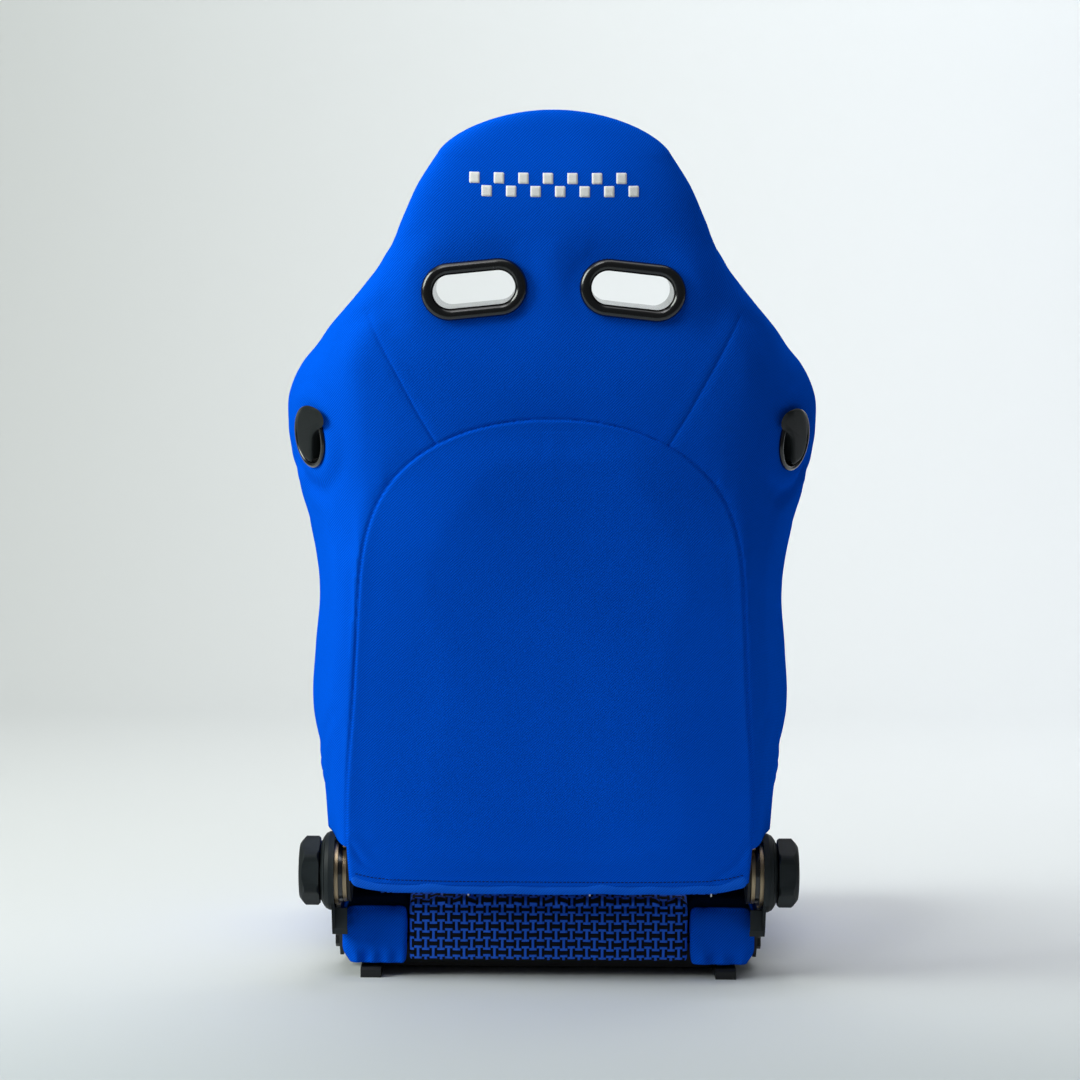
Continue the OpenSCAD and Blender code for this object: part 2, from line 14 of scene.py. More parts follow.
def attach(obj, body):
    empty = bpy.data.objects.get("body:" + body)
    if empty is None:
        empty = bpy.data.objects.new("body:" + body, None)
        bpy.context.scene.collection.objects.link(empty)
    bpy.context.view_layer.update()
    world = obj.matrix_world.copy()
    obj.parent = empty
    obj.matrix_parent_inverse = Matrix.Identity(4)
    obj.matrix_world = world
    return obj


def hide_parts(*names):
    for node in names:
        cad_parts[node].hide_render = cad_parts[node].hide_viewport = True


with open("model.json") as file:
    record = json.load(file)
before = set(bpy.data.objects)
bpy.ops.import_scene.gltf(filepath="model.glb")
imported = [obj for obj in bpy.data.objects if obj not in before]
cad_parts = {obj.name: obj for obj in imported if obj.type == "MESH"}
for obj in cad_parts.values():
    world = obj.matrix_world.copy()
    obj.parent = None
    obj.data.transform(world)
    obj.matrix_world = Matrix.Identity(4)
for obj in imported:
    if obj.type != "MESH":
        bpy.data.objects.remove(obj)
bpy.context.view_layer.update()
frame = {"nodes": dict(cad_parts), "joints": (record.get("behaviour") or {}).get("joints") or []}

MM = 0.001
JOINTS = {joint["name"]: joint for joint in frame["joints"]}
HINGE = np.array(JOINTS["recline"]["pos_m"])
TILT = math.radians(17.0)

# Backrest outline seen from behind: [(height above the recline axis along the backrest, half width)], in mm
WIDTH = [(40, 237), (110, 243.5), (170, 250.5), (232, 246.5), (300, 240.5), (349, 244.5), (415, 258.5),
         (480, 272), (512, 272), (545, 259), (568, 243), (592, 227.5), (623, 204.5), (654, 181), (685, 162),
         (715, 149), (746, 135), (776, 115)]
# Depth of the rear face behind the recline axis
REAR = [(-10, 54), (200, 57), (400, 60), (520, 60), (600, 54), (650, 48), (700, 39), (750, 24), (790, 5),
        (821, -14)]
# Depth of the centre section's front, of the bolsters' tips and of the head section's front
FRONT = [(20, -28), (60, -40), (130, -52), (250, -46), (400, -32), (520, -28), (600, -34)]
TIP = [(40, -40), (80, -70), (130, -104), (200, -124), (300, -120), (400, -112), (480, -112), (540, -106),
       (600, -84)]
HEAD = [(575, -78), (650, -60), (700, -50), (760, -40), (800, -28), (821, -17)]
# Half width at which the rear face turns into the side
CORNER = [(40, 217), (110, 217), (230, 212), (340, 205), (480, 202), (560, 206), (600, 203)]
# Half width of the arched rear panel, before its top is rounded
ARCH = [(0, 210), (60, 213), (109, 212), (221, 203), (331, 196), (417, 190), (525, 181)]
ARCH_TOP = 525
ARCH_FROM = 330
BOTTOM = 42
TOP = 819.5
DOME_FROM = 776
HEAD_FROM, HEAD_TO = 574, 640
# Thickness of the cover at its open bottom, and how far across its inside may reach beside the brackets
WALL = 4.0
BRACKET_IN = 220.5

# Harness slot and shoulder lever, as in the CAD
SLOT_CENTRE = np.array([78.0, 4.0, 644.0])
SLOT_PITCH = math.radians(-78.0)
SLOT_ROLL = math.radians(6.0)
SLOT_HALF = 24.0
SLOT_CUT_R = 21.5
SLOT_REACH = 70
# Height of the cloth over the slot's middle at the bezels, and over the lever's at its cup
REAR_BEZEL_REST = 40.5
FRONT_BEZEL_REST = 48.5
CUP_REST = 0.6
LEVER_CENTRE = np.array([245.0, -8.0, 484.0])
LEVER_LEAN = math.radians(31.0)
CUP_CUT_R = 29
CUP_DEPTH = 13.2


# ---- Small helpers ----

def at(table, place):
    """Smooth value of a [(place, value)] table, as a cubic between its points."""
    t = np.asarray(table, float)
    x, y = t[:, 0], t[:, 1]
    slope = np.gradient(y, x)
    p = np.clip(place, x[0], x[-1])
    i = np.clip(np.searchsorted(x, p, side="right") - 1, 0, len(x) - 2)
    h = x[i + 1] - x[i]
    u = (p - x[i]) / h
    return ((2 * u**3 - 3 * u**2 + 1) * y[i] + (u**3 - 2 * u**2 + u) * h * slope[i]
            + (3 * u**2 - 2 * u**3) * y[i + 1] + (u**3 - u**2) * h * slope[i + 1])


def smooth(low, high, value):
    """0 below low, 1 above high, and smooth between."""
    u = np.clip((np.asarray(value, float) - low) / (high - low), 0, 1)
    return u * u * (3 - 2 * u)


def to_row(p):
    """Backrest coordinates [across, depth, height] in mm to the row frame in metres."""
    p = np.asarray(p, float) * MM
    c, s = math.cos(TILT), math.sin(TILT)
    return np.stack([p[..., 0], HINGE[1] + c * p[..., 1] + s * p[..., 2],
                     HINGE[2] - s * p[..., 1] + c * p[..., 2]], axis=-1)


def from_row(q):
    """Row frame in metres to backrest coordinates in mm."""
    q = np.asarray(q, float)
    c, s = math.cos(TILT), math.sin(TILT)
    y, z = q[..., 1] - HINGE[1], q[..., 2] - HINGE[2]
    return np.stack([q[..., 0], c * y - s * z, s * y + c * z], axis=-1) / MM


def cubic(a, b, c, d, u):
    """Catmull-Rom curve from b to c, with a before them and d after."""
    return 0.5 * (2 * b + (c - a) * u + (2 * a - 5 * b + 4 * c - d) * u**2 + (3 * b - 3 * c + d - a) * u**3)


def spline(points, counts):
    """Curve through the points, with counts[i] samples from point i to the next, and the last point."""
    p = np.asarray(points, float)
    e = np.vstack([2 * p[0] - p[1], p, 2 * p[-1] - p[-2]])
    out = []
    for i, n in enumerate(counts):
        u = (np.arange(n) / n)[:, None]
        out.append(cubic(*e[i:i + 4], u))
    return np.vstack(out + [p[-1:]])


def resample(curve, n, closed=False):
    """n points evenly spaced along a polyline."""
    c = np.vstack([curve, curve[:1]]) if closed else np.asarray(curve, float)
    length = np.concatenate([[0], np.cumsum(np.linalg.norm(np.diff(c, axis=0), axis=1))])
    where = np.linspace(0, length[-1], n + 1)[:n] if closed else np.linspace(0, length[-1], n)
    return np.stack([np.interp(where, length, c[:, k]) for k in range(c.shape[1])], axis=-1)


def link(name, data):
    """New object in the scene."""
    obj = bpy.data.objects.new(name, data)
    bpy.context.scene.collection.objects.link(obj)
    return obj


def mesh_object(name, verts, faces, smooth_shade=True):
    mesh = bpy.data.meshes.new(name)
    mesh.from_pydata([tuple(map(float, v)) for v in verts], [], [tuple(map(int, f)) for f in faces])
    mesh.validate()
    mesh.polygons.foreach_set("use_smooth", [smooth_shade] * len(mesh.polygons))
    mesh.update()
    return link(name, mesh)


@contextmanager
def editing(obj):
    """The object's mesh as a bmesh, written back afterwards."""
    bm = bmesh.new()
    bm.from_mesh(obj.data)
    yield bm
    bm.to_mesh(obj.data)
    bm.free()


def tidy_mesh(obj, merge=1e-6):
    """Merges doubled points, and turns every face outwards."""
    with editing(obj) as bm:
        bmesh.ops.remove_doubles(bm, verts=bm.verts, dist=merge)
        bmesh.ops.dissolve_degenerate(bm, dist=merge, edges=bm.edges)
        bmesh.ops.recalc_face_normals(bm, faces=bm.faces)
    obj.data.update()
    return obj


def face_outwards(obj):
    with editing(obj) as bm:
        bmesh.ops.recalc_face_normals(bm, faces=bm.faces)


def grid_faces(rows, cols, closed):
    """Quads of a rows x cols grid of points, closed round its columns or not."""
    i, k = np.meshgrid(np.arange(rows - 1), np.arange(cols if closed else cols - 1), indexing="ij")
    a, b = i * cols + k, i * cols + (k + 1) % cols
    return np.stack([a, b, b + cols, a + cols], axis=-1).reshape(-1, 4)


def tube_faces(rows, cols):
    """Faces of a closed grid of points, with its first and last rows capped."""
    faces = [tuple(f) for f in grid_faces(rows, cols, True)]
    return faces + [tuple(range(cols))[::-1], tuple(range((rows - 1) * cols, rows * cols))]


def grid_object(name, p, uv=None):
    """Capped tube from a (rows, cols, 3) grid of points in the row frame."""
    rows, cols = p.shape[:2]
    obj = mesh_object(name, p.reshape(-1, 3), tube_faces(rows, cols))
    if uv is not None:
        corner_uv(obj, *uv)
    return tidy_mesh(obj)


def corner_uv(obj, across, step, up):
    """Fabric coordinates for a tube's face corners: across, step to the next column, and up, in metres."""
    a, b = across, across + step
    low, high = up[:-1], up[1:]
    quads = np.stack([np.stack([a[:-1], low], -1), np.stack([b[:-1], low], -1), np.stack([b[1:], high], -1),
                      np.stack([a[1:], high], -1)], axis=2).reshape(-1, 2)
    layer = obj.data.uv_layers.new(name="fabric")
    values = np.zeros((len(obj.data.loops), 2))
    values[:len(quads)] = quads
    layer.data.foreach_set("uv", values.ravel())


def wrap_uv(p, middle):
    """corner_uv values measured round each row from the first column, with the join at column middle."""
    gap = np.linalg.norm(np.roll(p, -1, axis=1) - p, axis=-1)
    start = np.concatenate([np.zeros((len(p), 1)), np.cumsum(gap, axis=1)[:, :-1]], axis=1)
    across = start - np.where(np.arange(p.shape[1]) > middle, gap.sum(axis=1)[:, None], 0)
    rise = np.linalg.norm(np.diff(p[:, 0], axis=0), axis=-1)
    up = np.concatenate([[0], np.cumsum(rise)])[:, None] * np.ones((1, p.shape[1]))
    return across, gap, up


def box_uv(obj):
    """Fabric coordinates of each face from the side, the back or above, whichever faces it most."""
    layer = obj.data.uv_layers.get("fabric") or obj.data.uv_layers.new(name="fabric")
    faces = obj.data.polygons
    facing = np.argmax(np.abs(read(faces, "normal", 3)), axis=1)
    side = np.repeat(facing, read(faces, "loop_total", 1, int)[:, 0])
    co = points_of(obj.data)[corner_vertices(obj.data)]
    u = np.where(side == 0, co[:, 1], co[:, 0])
    v = np.where(side == 2, co[:, 1], co[:, 2])
    layer.data.foreach_set("uv", np.stack([u, v], axis=-1).ravel())


def add_uv(obj, uv):
    """Fabric coordinates, in metres, for each vertex."""
    layer = obj.data.uv_layers.new(name="fabric")
    layer.data.foreach_set("uv", np.asarray(uv, float)[corner_vertices(obj.data)].ravel())


def refine(a, rows, cols):
    """A coarse grid's values, closed round its columns, carried to a finer grid that has the same edges."""
    def along(v, n, wrap):
        m = v.shape[0]
        t = np.arange(n) * (m / n) if wrap else np.linspace(0, m - 1, n)
        i = np.floor(t).astype(int)
        u = (t - i).reshape((-1,) + (1,) * (v.ndim - 1))
        pick = (lambda j: v[j % m]) if wrap else (lambda j: v[np.clip(j, 0, m - 1)])
        return cubic(pick(i - 1), pick(i), pick(i + 1), pick(i + 2), u)
    fine = along(a, rows, False)
    return np.swapaxes(along(np.swapaxes(fine, 0, 1), cols, True), 0, 1)


def bake_modifiers(obj):
    """Applies every modifier, so the mesh holds the final shape."""
    graph = bpy.context.evaluated_depsgraph_get()
    mesh = bpy.data.meshes.new_from_object(obj.evaluated_get(graph), depsgraph=graph)
    old = obj.data
    obj.modifiers.clear()
    obj.data = mesh
    mesh.name = obj.name
    bpy.data.meshes.remove(old)
    return obj


def read(items, attribute, width, kind=float):
    """One row of numbers for each item of a mesh."""
    values = np.zeros(len(items) * width, kind)
    items.foreach_get(attribute, values)
    return values.reshape(-1, width)


def points_of(mesh):
    return read(mesh.vertices, "co", 3)


def corner_vertices(mesh):
    """Vertex of each face corner."""
    return read(mesh.loops, "vertex_index", 1, int)[:, 0]


def move_points(obj, co):
    obj.data.vertices.foreach_set("co", co.ravel())
    obj.data.update()


def shade_smooth(obj):
    obj.data.polygons.foreach_set("use_smooth", [True] * len(obj.data.polygons))


# ---- Cloth ----

CLOTH_FRAMES = 18


def inflate(obj, pinned, cap, pressure):
    """Swells a closed mesh with Cloth under pressure, holding the pinned points.

    Returns how far each point moved, at most cap."""
    start = points_of(obj.data)
    group = obj.vertex_groups.new(name="held")
    for i, weight in enumerate(pinned):
        if weight > 0.01:
            group.add([i], float(min(weight, 1.0)), "REPLACE")
    cloth = obj.modifiers.new("Cloth", "CLOTH")
    s = cloth.settings
    s.quality = 5
    s.mass = 0.25
    s.tension_stiffness = 12
    s.compression_stiffness = 12
    s.shear_stiffness = 4
    s.bending_stiffness = 0.3
    s.use_pressure = True
    s.uniform_pressure_force = pressure
    s.vertex_group_mass = "held"
    s.pin_stiffness = 1.0
    s.effector_weights.gravity = 0
    cloth.collision_settings.use_collision = False
    cloth.collision_settings.use_self_collision = False
    cloth.point_cache.frame_start = 1
    cloth.point_cache.frame_end = CLOTH_FRAMES
    scene = bpy.context.scene
    for f in range(1, CLOTH_FRAMES + 1):
        scene.frame_set(f)
    graph = bpy.context.evaluated_depsgraph_get()
    evaluated = obj.evaluated_get(graph)
    moved = points_of(evaluated.to_mesh()) - start
    evaluated.to_mesh_clear()
    obj.modifiers.remove(cloth)
    obj.vertex_groups.remove(group)
    scene.frame_set(1)
    length = np.linalg.norm(moved, axis=1, keepdims=True)
    return moved * np.minimum(1, cap / np.maximum(length, 1e-9))


def swelled_pad(build, fine, coarse, held_rows, cap, pressure, fade, share=1.0):
    """A pad's fine grid in backrest coordinates, and its swelled points in the row frame.

    fine and coarse are (rows, face columns, back columns). Only the face swells, by the cloth of the coarse
    grid, less within fade columns of its side edges, and by the share of each row."""
    grid = build(*fine)
    row = to_row(grid)
    small = build(*coarse)
    hold = np.zeros(small.shape[:2])
    hold[:, :2] = hold[:, coarse[1] - 2:] = 1
    hold[:held_rows] = hold[-2:] = 1
    push = refine(puff_grid(to_row(small), hold, cap, pressure), fine[0], fine[1] + fine[2])
    face, column = fine[1], np.arange(fine[1])
    push = push[:, :face] * smooth(0, fade, np.minimum(column, face - 1 - column))[None, :, None]
    row[:, :face] += push * (share(grid) if callable(share) else share)
    return grid, row


def puff_grid(p, pinned, cap, pressure):
    """Offsets of a coarse closed grid of points after inflate()."""
    rows, cols = p.shape[:2]
    obj = mesh_object("puff_source", p.reshape(-1, 3), tube_faces(rows, cols))
    face_outwards(obj)
    moved = inflate(obj, pinned.ravel(), cap, pressure)
    bpy.data.meshes.remove(obj.data)
    return moved.reshape(rows, cols, 3)


def padded_solid(name, obj, voxel, cap, pressure, held):
    """Remeshes a closed mesh, swells it by cloth simulation and smooths it."""
    mod = obj.modifiers.new("Remesh", "REMESH")
    mod.mode = "VOXEL"
    mod.voxel_size = voxel
    mod.use_smooth_shade = True
    bake_modifiers(obj)
    co = points_of(obj.data)
    moved = inflate(obj, held(co), cap, pressure)
    move_points(obj, co + moved)
    sub = obj.modifiers.new("Smooth", "SMOOTH")
    sub.iterations = 4
    sub.factor = 0.5
    sub = obj.modifiers.new("Subdivision", "SUBSURF")
    sub.levels = 1
    sub.render_levels = 1
    bake_modifiers(obj)
    shade_smooth(obj)
    obj.name = name
    return obj


# ---- Materials ----

BLUE_LIGHT = (0.0008, 0.110, 0.82, 1.0)
BLUE_DARK = (0.0004, 0.045, 0.40, 1.0)
# Painted shade: black for the shaded gap between the cushion and the foot of the backrest
PAINTED_SHADE_BLACK = (0.0015, 0.003, 0.008, 1.0)
PAINT_BLACK = (0.004, 0.0046, 0.0052, 1)
ZINC = (0.44, 0.34, 0.22, 1)


class Nodes:
    """A material's node tree, with short calls for the nodes used here."""

    def __init__(self, name):
        self.material = bpy.data.materials.new(name)
        self.material.use_nodes = True
        self.tree = self.material.node_tree
        self.shader = self.tree.nodes["Principled BSDF"]
        self.coordinates = self.tree.nodes.new("ShaderNodeTexCoord").outputs["Object"]

    def set(self, **values):
        for key, value in values.items():
            self.shader.inputs[key.replace("_", " ")].default_value = value

    def put(self, value, socket):
        if hasattr(value, "links") or isinstance(value, bpy.types.NodeSocket):
            self.tree.links.new(value, socket)
        else:
            socket.default_value = value

    def math(self, op, a, b=0.0, c=0.0):
        node = self.tree.nodes.new("ShaderNodeMath")
        node.operation = op
        for value, socket in zip((a, b, c), node.inputs):
            self.put(value, socket)
        return node.outputs[0]

    def times(self, a, b):
        return self.math("MULTIPLY", a, b)

    def scaled(self, value, factor, shift):
        return self.math("MULTIPLY_ADD", value, factor, shift)

    def dot(self, vector, direction):
        node = self.tree.nodes.new("ShaderNodeVectorMath")
        node.operation = "DOT_PRODUCT"
        self.put(vector, node.inputs[0])
        node.inputs[1].default_value = direction
        return node.outputs["Value"]

    def noise(self, scale, detail=2.0, roughness=0.5, vector=None):
        node = self.tree.nodes.new("ShaderNodeTexNoise")
        self.put(self.coordinates if vector is None else vector, node.inputs["Vector"])
        node.inputs["Scale"].default_value = scale
        node.inputs["Detail"].default_value = detail
        node.inputs["Roughness"].default_value = roughness
        return node.outputs["Fac"]

    def mix(self, factor, a, b):
        node = self.tree.nodes.new("ShaderNodeMix")
        node.data_type = "RGBA"
        self.put(factor, node.inputs[0])
        self.put(a, node.inputs[6])
        self.put(b, node.inputs[7])
        return node.outputs[2]

    def ramp(self, value, low, high):
        node = self.tree.nodes.new("ShaderNodeMapRange")
        node.interpolation_type = "SMOOTHSTEP"
        self.put(value, node.inputs["Value"])
        node.inputs["From Min"].default_value = low
        node.inputs["From Max"].default_value = high
        return node.outputs["Result"]

    def bump(self, height, distance, strength=1.0):
        node = self.tree.nodes.new("ShaderNodeBump")
        node.inputs["Distance"].default_value = distance
        node.inputs["Strength"].default_value = strength
        self.put(height, node.inputs["Height"])
        self.tree.links.new(node.outputs["Normal"], self.shader.inputs["Normal"])

    def colour(self, value):
        self.put(value, self.shader.inputs["Base Color"])

    def rough(self, value):
        self.put(value, self.shader.inputs["Roughness"])

    def wave(self, along, pitch):
        """0 to 1 and back for each pitch of a coordinate in metres."""
        angle = self.times(along, 2 * math.pi / pitch)
        return self.scaled(self.math("SINE", angle), 0.5, 0.5)


def knit_material(name, light, dark, rib=0.0021, stitch=0.0017, gap_shade=False):
    """Stretch knit with fine diagonal ribs, each broken into small stitches, laid by the fabric coordinates.

    When asked, it paints black shade on the ledge under the foot of the backrest, where the gap between
    cushion and backrest lies in shade.
    """
    n = Nodes(name)
    uv = n.tree.nodes.new("ShaderNodeUVMap")
    uv.uv_map = "fabric"
    across = n.dot(uv.outputs["UV"], (0.707, 0.707, 0))
    along = n.dot(uv.outputs["UV"], (-0.707, 0.707, 0))
    wobble = n.times(n.noise(90.0, 1.0), 0.0012)
    ribs = n.wave(n.math("ADD", across, wobble), rib)
    shifted = n.scaled(n.math("FLOOR", n.math("DIVIDE", across, rib)), stitch / 2, along)
    knots = n.wave(shifted, stitch)
    height = n.scaled(knots, 0.38, n.times(ribs, 0.62))
    yarn = n.scaled(n.noise(1100.0, 2.0), 0.28, n.times(height, 0.86))
    cloud = n.noise(6.0, 2.0)
    tone = n.scaled(cloud, 0.25, n.scaled(yarn, 0.76, -0.02))
    cloth = n.mix(n.ramp(tone, 0.0, 0.95), dark, light)
    if gap_shade:
        # Painted shade: black on the cushion's ledge under the foot of the backrest, a gap that lies in shade
        place = n.tree.nodes.new("ShaderNodeSeparateXYZ")
        n.put(n.coordinates, place.inputs[0])
        behind = n.ramp(place.outputs["Y"], HINGE[1] - 0.015, HINGE[1] - 0.018)
        before = n.ramp(place.outputs["Y"], HINGE[1] - 0.085, HINGE[1] - 0.075)
        low = n.ramp(place.outputs["Z"], 0.108, 0.103)
        inner = n.ramp(n.math("ABSOLUTE", place.outputs["X"]), 0.219, 0.216)
        painted_shade_ledge = n.times(n.times(behind, before), n.times(low, inner))
        cloth = n.mix(painted_shade_ledge, cloth, PAINTED_SHADE_BLACK)
    n.colour(cloth)
    n.rough(n.scaled(yarn, -0.10, 0.84))
    n.bump(yarn, 0.0004, 0.6)
    n.set(Sheen_Weight=0.02, Sheen_Roughness=0.5, Sheen_Tint=(0.0, 0.3, 1.0, 1.0), Specular_IOR_Level=0.0)
    return n.material


def pattern_material(name, thread, ground):
    """Black jacquard with blue I shapes in two interlocking lattices, and raised black bars between them."""
    n = Nodes(name)
    uv = n.tree.nodes.new("ShaderNodeUVMap")
    uv.uv_map = "fabric"
    split = n.tree.nodes.new("ShaderNodeSeparateXYZ")
    n.tree.links.new(uv.outputs["UV"], split.inputs[0])
    pitch_x, pitch_y = 16.5, 19.0
    sway = n.scaled(n.noise(26.0, 1.0), 2.2, -1.1)
    x = n.scaled(split.outputs["X"], 1000.0, n.times(sway, 0.6))
    y = n.scaled(split.outputs["Y"], 1000.0, sway)

    def from_centre(value, pitch, shift):
        """Distance in mm to the nearest lattice centre along one direction."""
        place = n.math("FRACT", n.scaled(value, 1 / pitch, shift))
        return n.times(n.math("ABSOLUTE", n.math("SUBTRACT", place, 0.5)), pitch)

    shape = bar = None
    for shift in (0.0, 0.5):
        u, v = from_centre(x, pitch_x, shift), from_centre(y, pitch_y, shift)
        stem = n.times(n.ramp(u, 1.75, 1.05), n.ramp(v, 7.4, 6.8))
        serif = n.times(n.ramp(u, 4.3, 3.6), n.times(n.ramp(v, 4.2, 4.9), n.ramp(v, 7.5, 6.9)))
        one = n.math("MAXIMUM", stem, serif)
        dash = n.times(n.ramp(u, 4.9, 4.2), n.ramp(v, 7.8, 8.4))
        shape = one if shape is None else n.math("MAXIMUM", shape, one)
        bar = dash if bar is None else n.math("MAXIMUM", bar, dash)
    twist = n.wave(n.math("ADD", split.outputs["X"], split.outputs["Y"]), 0.0011)
    fine = n.wave(n.math("SUBTRACT", split.outputs["X"], split.outputs["Y"]), 0.0009)
    thread_tone = n.mix(twist, thread[0], thread[1])
    ground_tone = n.mix(n.times(bar, n.scaled(fine, 0.5, 0.5)), ground[0], ground[1])
    n.colour(n.mix(shape, ground_tone, thread_tone))
    n.rough(n.scaled(shape, -0.2, 0.85))
    height = n.math("ADD", n.times(shape, 0.6), n.times(bar, 0.9))
    n.bump(n.math("ADD", height, n.times(twist, 0.15)), 0.0011, 0.9)
    n.set(Sheen_Weight=0.04, Sheen_Roughness=0.4, Specular_IOR_Level=0.15)
    return n.material


def scale_colour(colour, factor, add=0.0):
    return tuple(c * factor + add for c in colour[:3]) + (1.0,)


def plastic_material(name, colour, roughness, grain, coat=0.0, pale_edge=0.0, shine=0.45):
    """Moulded plastic with a fine grain, slight uneven gloss and paler colour on its sharp edges."""
    n = Nodes(name)
    cloud = n.noise(28.0, 3.0)
    base = n.mix(n.times(cloud, 0.6), colour, scale_colour(colour, 1.7))
    if pale_edge:
        # Paler colour on sharp edges, found by pointiness
        bevel = n.tree.nodes.new("ShaderNodeNewGeometry")
        sharp_edge_pale = n.ramp(bevel.outputs["Pointiness"], 0.52, 0.62)
        base = n.mix(n.times(sharp_edge_pale, pale_edge), base, scale_colour(colour, 4, 0.02))
    n.colour(base)
    n.rough(n.scaled(cloud, 0.14, roughness - 0.07))
    n.bump(n.noise(1400.0, 2.0), grain, 0.5)
    n.set(Specular_IOR_Level=shine, Coat_Weight=coat, Coat_Roughness=0.18)
    return n.material


def metal_material(name, colour, roughness, streak, direction, stain=0.0, paint_below=None):
    """Metal with rolled streaks along one direction and some staining, painted black below a given height."""
    n = Nodes(name)
    mapping = n.tree.nodes.new("ShaderNodeMapping")
    mapping.inputs["Scale"].default_value = direction
    n.put(n.coordinates, mapping.inputs["Vector"])
    lines = n.noise(60.0, 4.0, 0.7, mapping.outputs["Vector"])
    cloud = n.noise(22.0, 3.0)
    dark = scale_colour(colour, 0.55)
    tone = n.mix(n.times(n.ramp(cloud, 0.35, 0.75), stain + 0.25), colour, dark)
    n.rough(n.scaled(lines, 0.22, roughness - 0.1))
    n.bump(lines, streak, 0.35)
    if paint_below is None:
        n.colour(tone)
        n.set(Metallic=1.0)
        return n.material
    bare = n.ramp(n.dot(n.coordinates, (0, 0, 1)), paint_below - 0.001, paint_below + 0.001)
    n.colour(n.mix(bare, PAINT_BLACK, tone))
    n.put(bare, n.shader.inputs["Metallic"])
    return n.material


def paint_material(name, colour):
    """Satin black powder coat on steel."""
    n = Nodes(name)
    speck = n.noise(520.0, 3.0)
    cloud = n.noise(9.0, 2.0)
    n.colour(n.mix(cloud, colour, scale_colour(colour, 1.8)))
    n.rough(n.scaled(cloud, 0.15, 0.43))
    n.bump(speck, 0.0003, 0.35)
    n.set(Specular_IOR_Level=0.4)
    return n.material


def thread_material(name, colour, dark_share=0.5):
    """Twisted sewing thread."""
    n = Nodes(name)
    twist = n.wave(n.dot(n.coordinates, (0.7, 0.2, 0.7)), 0.0007)
    n.colour(n.mix(twist, colour, scale_colour(colour, dark_share)))
    n.bump(twist, 0.0002, 0.6)
    n.set(Roughness=0.7, Sheen_Weight=0.02, Specular_IOR_Level=0.1)
    return n.material


knit = knit_material("blue_knit", BLUE_LIGHT, BLUE_DARK)
gap_shaded_knit = knit_material("blue_knit_gap_shade", BLUE_LIGHT, BLUE_DARK, gap_shade=True)
hem_knit = knit_material("blue_hem_knit", (0.008, 0.13, 0.80, 1.0), (0.004, 0.07, 0.48, 1.0), stitch=0.0016)
pattern = pattern_material("patterned_jacquard", ((0.02, 0.16, 0.92, 1), (0.01, 0.09, 0.62, 1)),
                           ((0.0008, 0.0012, 0.003, 1), (0.004, 0.006, 0.012, 1)))
satin_black = plastic_material("satin_black_plastic", (0.003, 0.0052, 0.006, 1), 0.55, 0.00012,
                               pale_edge=0.5, shine=0.2)
gloss_black = plastic_material("gloss_black_plastic", (0.0022, 0.0024, 0.0028, 1), 0.24, 0.00003, coat=0.5)
zinc = metal_material("zinc_passivated_steel", ZINC, 0.36, 0.0002, (1, 6, 40), stain=0.35)
half_black = metal_material("half_painted_steel", ZINC, 0.36, 0.0002, (1, 6, 40), stain=0.35,
                            paint_below=0.078)
steel = metal_material("bright_steel", (0.56, 0.57, 0.58, 1), 0.30, 0.0001, (1, 8, 30), stain=0.15)
frame_black = paint_material("black_powder_coat", PAINT_BLACK)
dark_thread = thread_material("navy_thread", (0.001, 0.006, 0.05, 1))
white_thread = thread_material("white_thread", (0.95, 0.95, 0.95, 1), 0.8)


def dress(obj, material, body):
    """Material and body of a new piece."""
    obj.data.materials.clear()
    obj.data.materials.append(material)
    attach(obj, body)
    return obj


def repaint(material, *names):
    """Gives carried-over CAD nodes a material."""
    for name in names:
        for node in [n for n in frame["nodes"] if n == name or n.startswith(name + "_")]:
            obj = frame["nodes"][node]
            for s in obj.material_slots:
                s.material = material


# ---- Backrest cover ----

HALF = 190
COVER_ROWS = 262
ROLL_COS, ROLL_SIN = math.cos(SLOT_ROLL), math.sin(SLOT_ROLL)
PITCH_COS, PITCH_SIN = math.cos(SLOT_PITCH), math.sin(SLOT_PITCH)
SLOT_FRAME = np.array([[ROLL_COS, ROLL_SIN * PITCH_COS, ROLL_SIN * PITCH_SIN],
                       [-ROLL_SIN, ROLL_COS * PITCH_COS, ROLL_COS * PITCH_SIN],
                       [0.0, -PITCH_SIN, PITCH_COS]])
LEVER_FRAME = np.array([[0.0, 0.0, -1.0],
                        [-math.sin(LEVER_LEAN), math.cos(LEVER_LEAN), 0.0],
                        [math.cos(LEVER_LEAN), math.sin(LEVER_LEAN), 0.0]])
SLOT = (SLOT_FRAME, SLOT_CENTRE)
LEVER = (LEVER_FRAME, LEVER_CENTRE)


def bolster_half(s):
    """Half outline of the backrest at a height, from the middle of the rear to the middle of the front."""
    w, r, c, t, f = (float(at(table, s)) for table in (WIDTH, REAR, CORNER, TIP, FRONT))
    soft = smooth(360, 470, s)
    points = [(0, r + 4), (0.5 * c, r + 3), (c - 22 - 15 * soft, r - 2 - 3 * soft),
              (c + 1 - 2 * soft, r - 11.5 - 7 * soft), (0.6 * w + 0.4 * c, 0.1 * t + 0.05 * r),
              (w, 0.55 * t), (w - 4, 0.82 * t), (w - 22, t), (w - 46, t + 6), (171, 0.5 * t + 0.5 * f),
              (147, f + 6), (119, f + 10), (0, f + 10)]
    return spline(points, [10, 10, 5, 8, 8, 6, 6, 6, 6, 5, 5, 8])


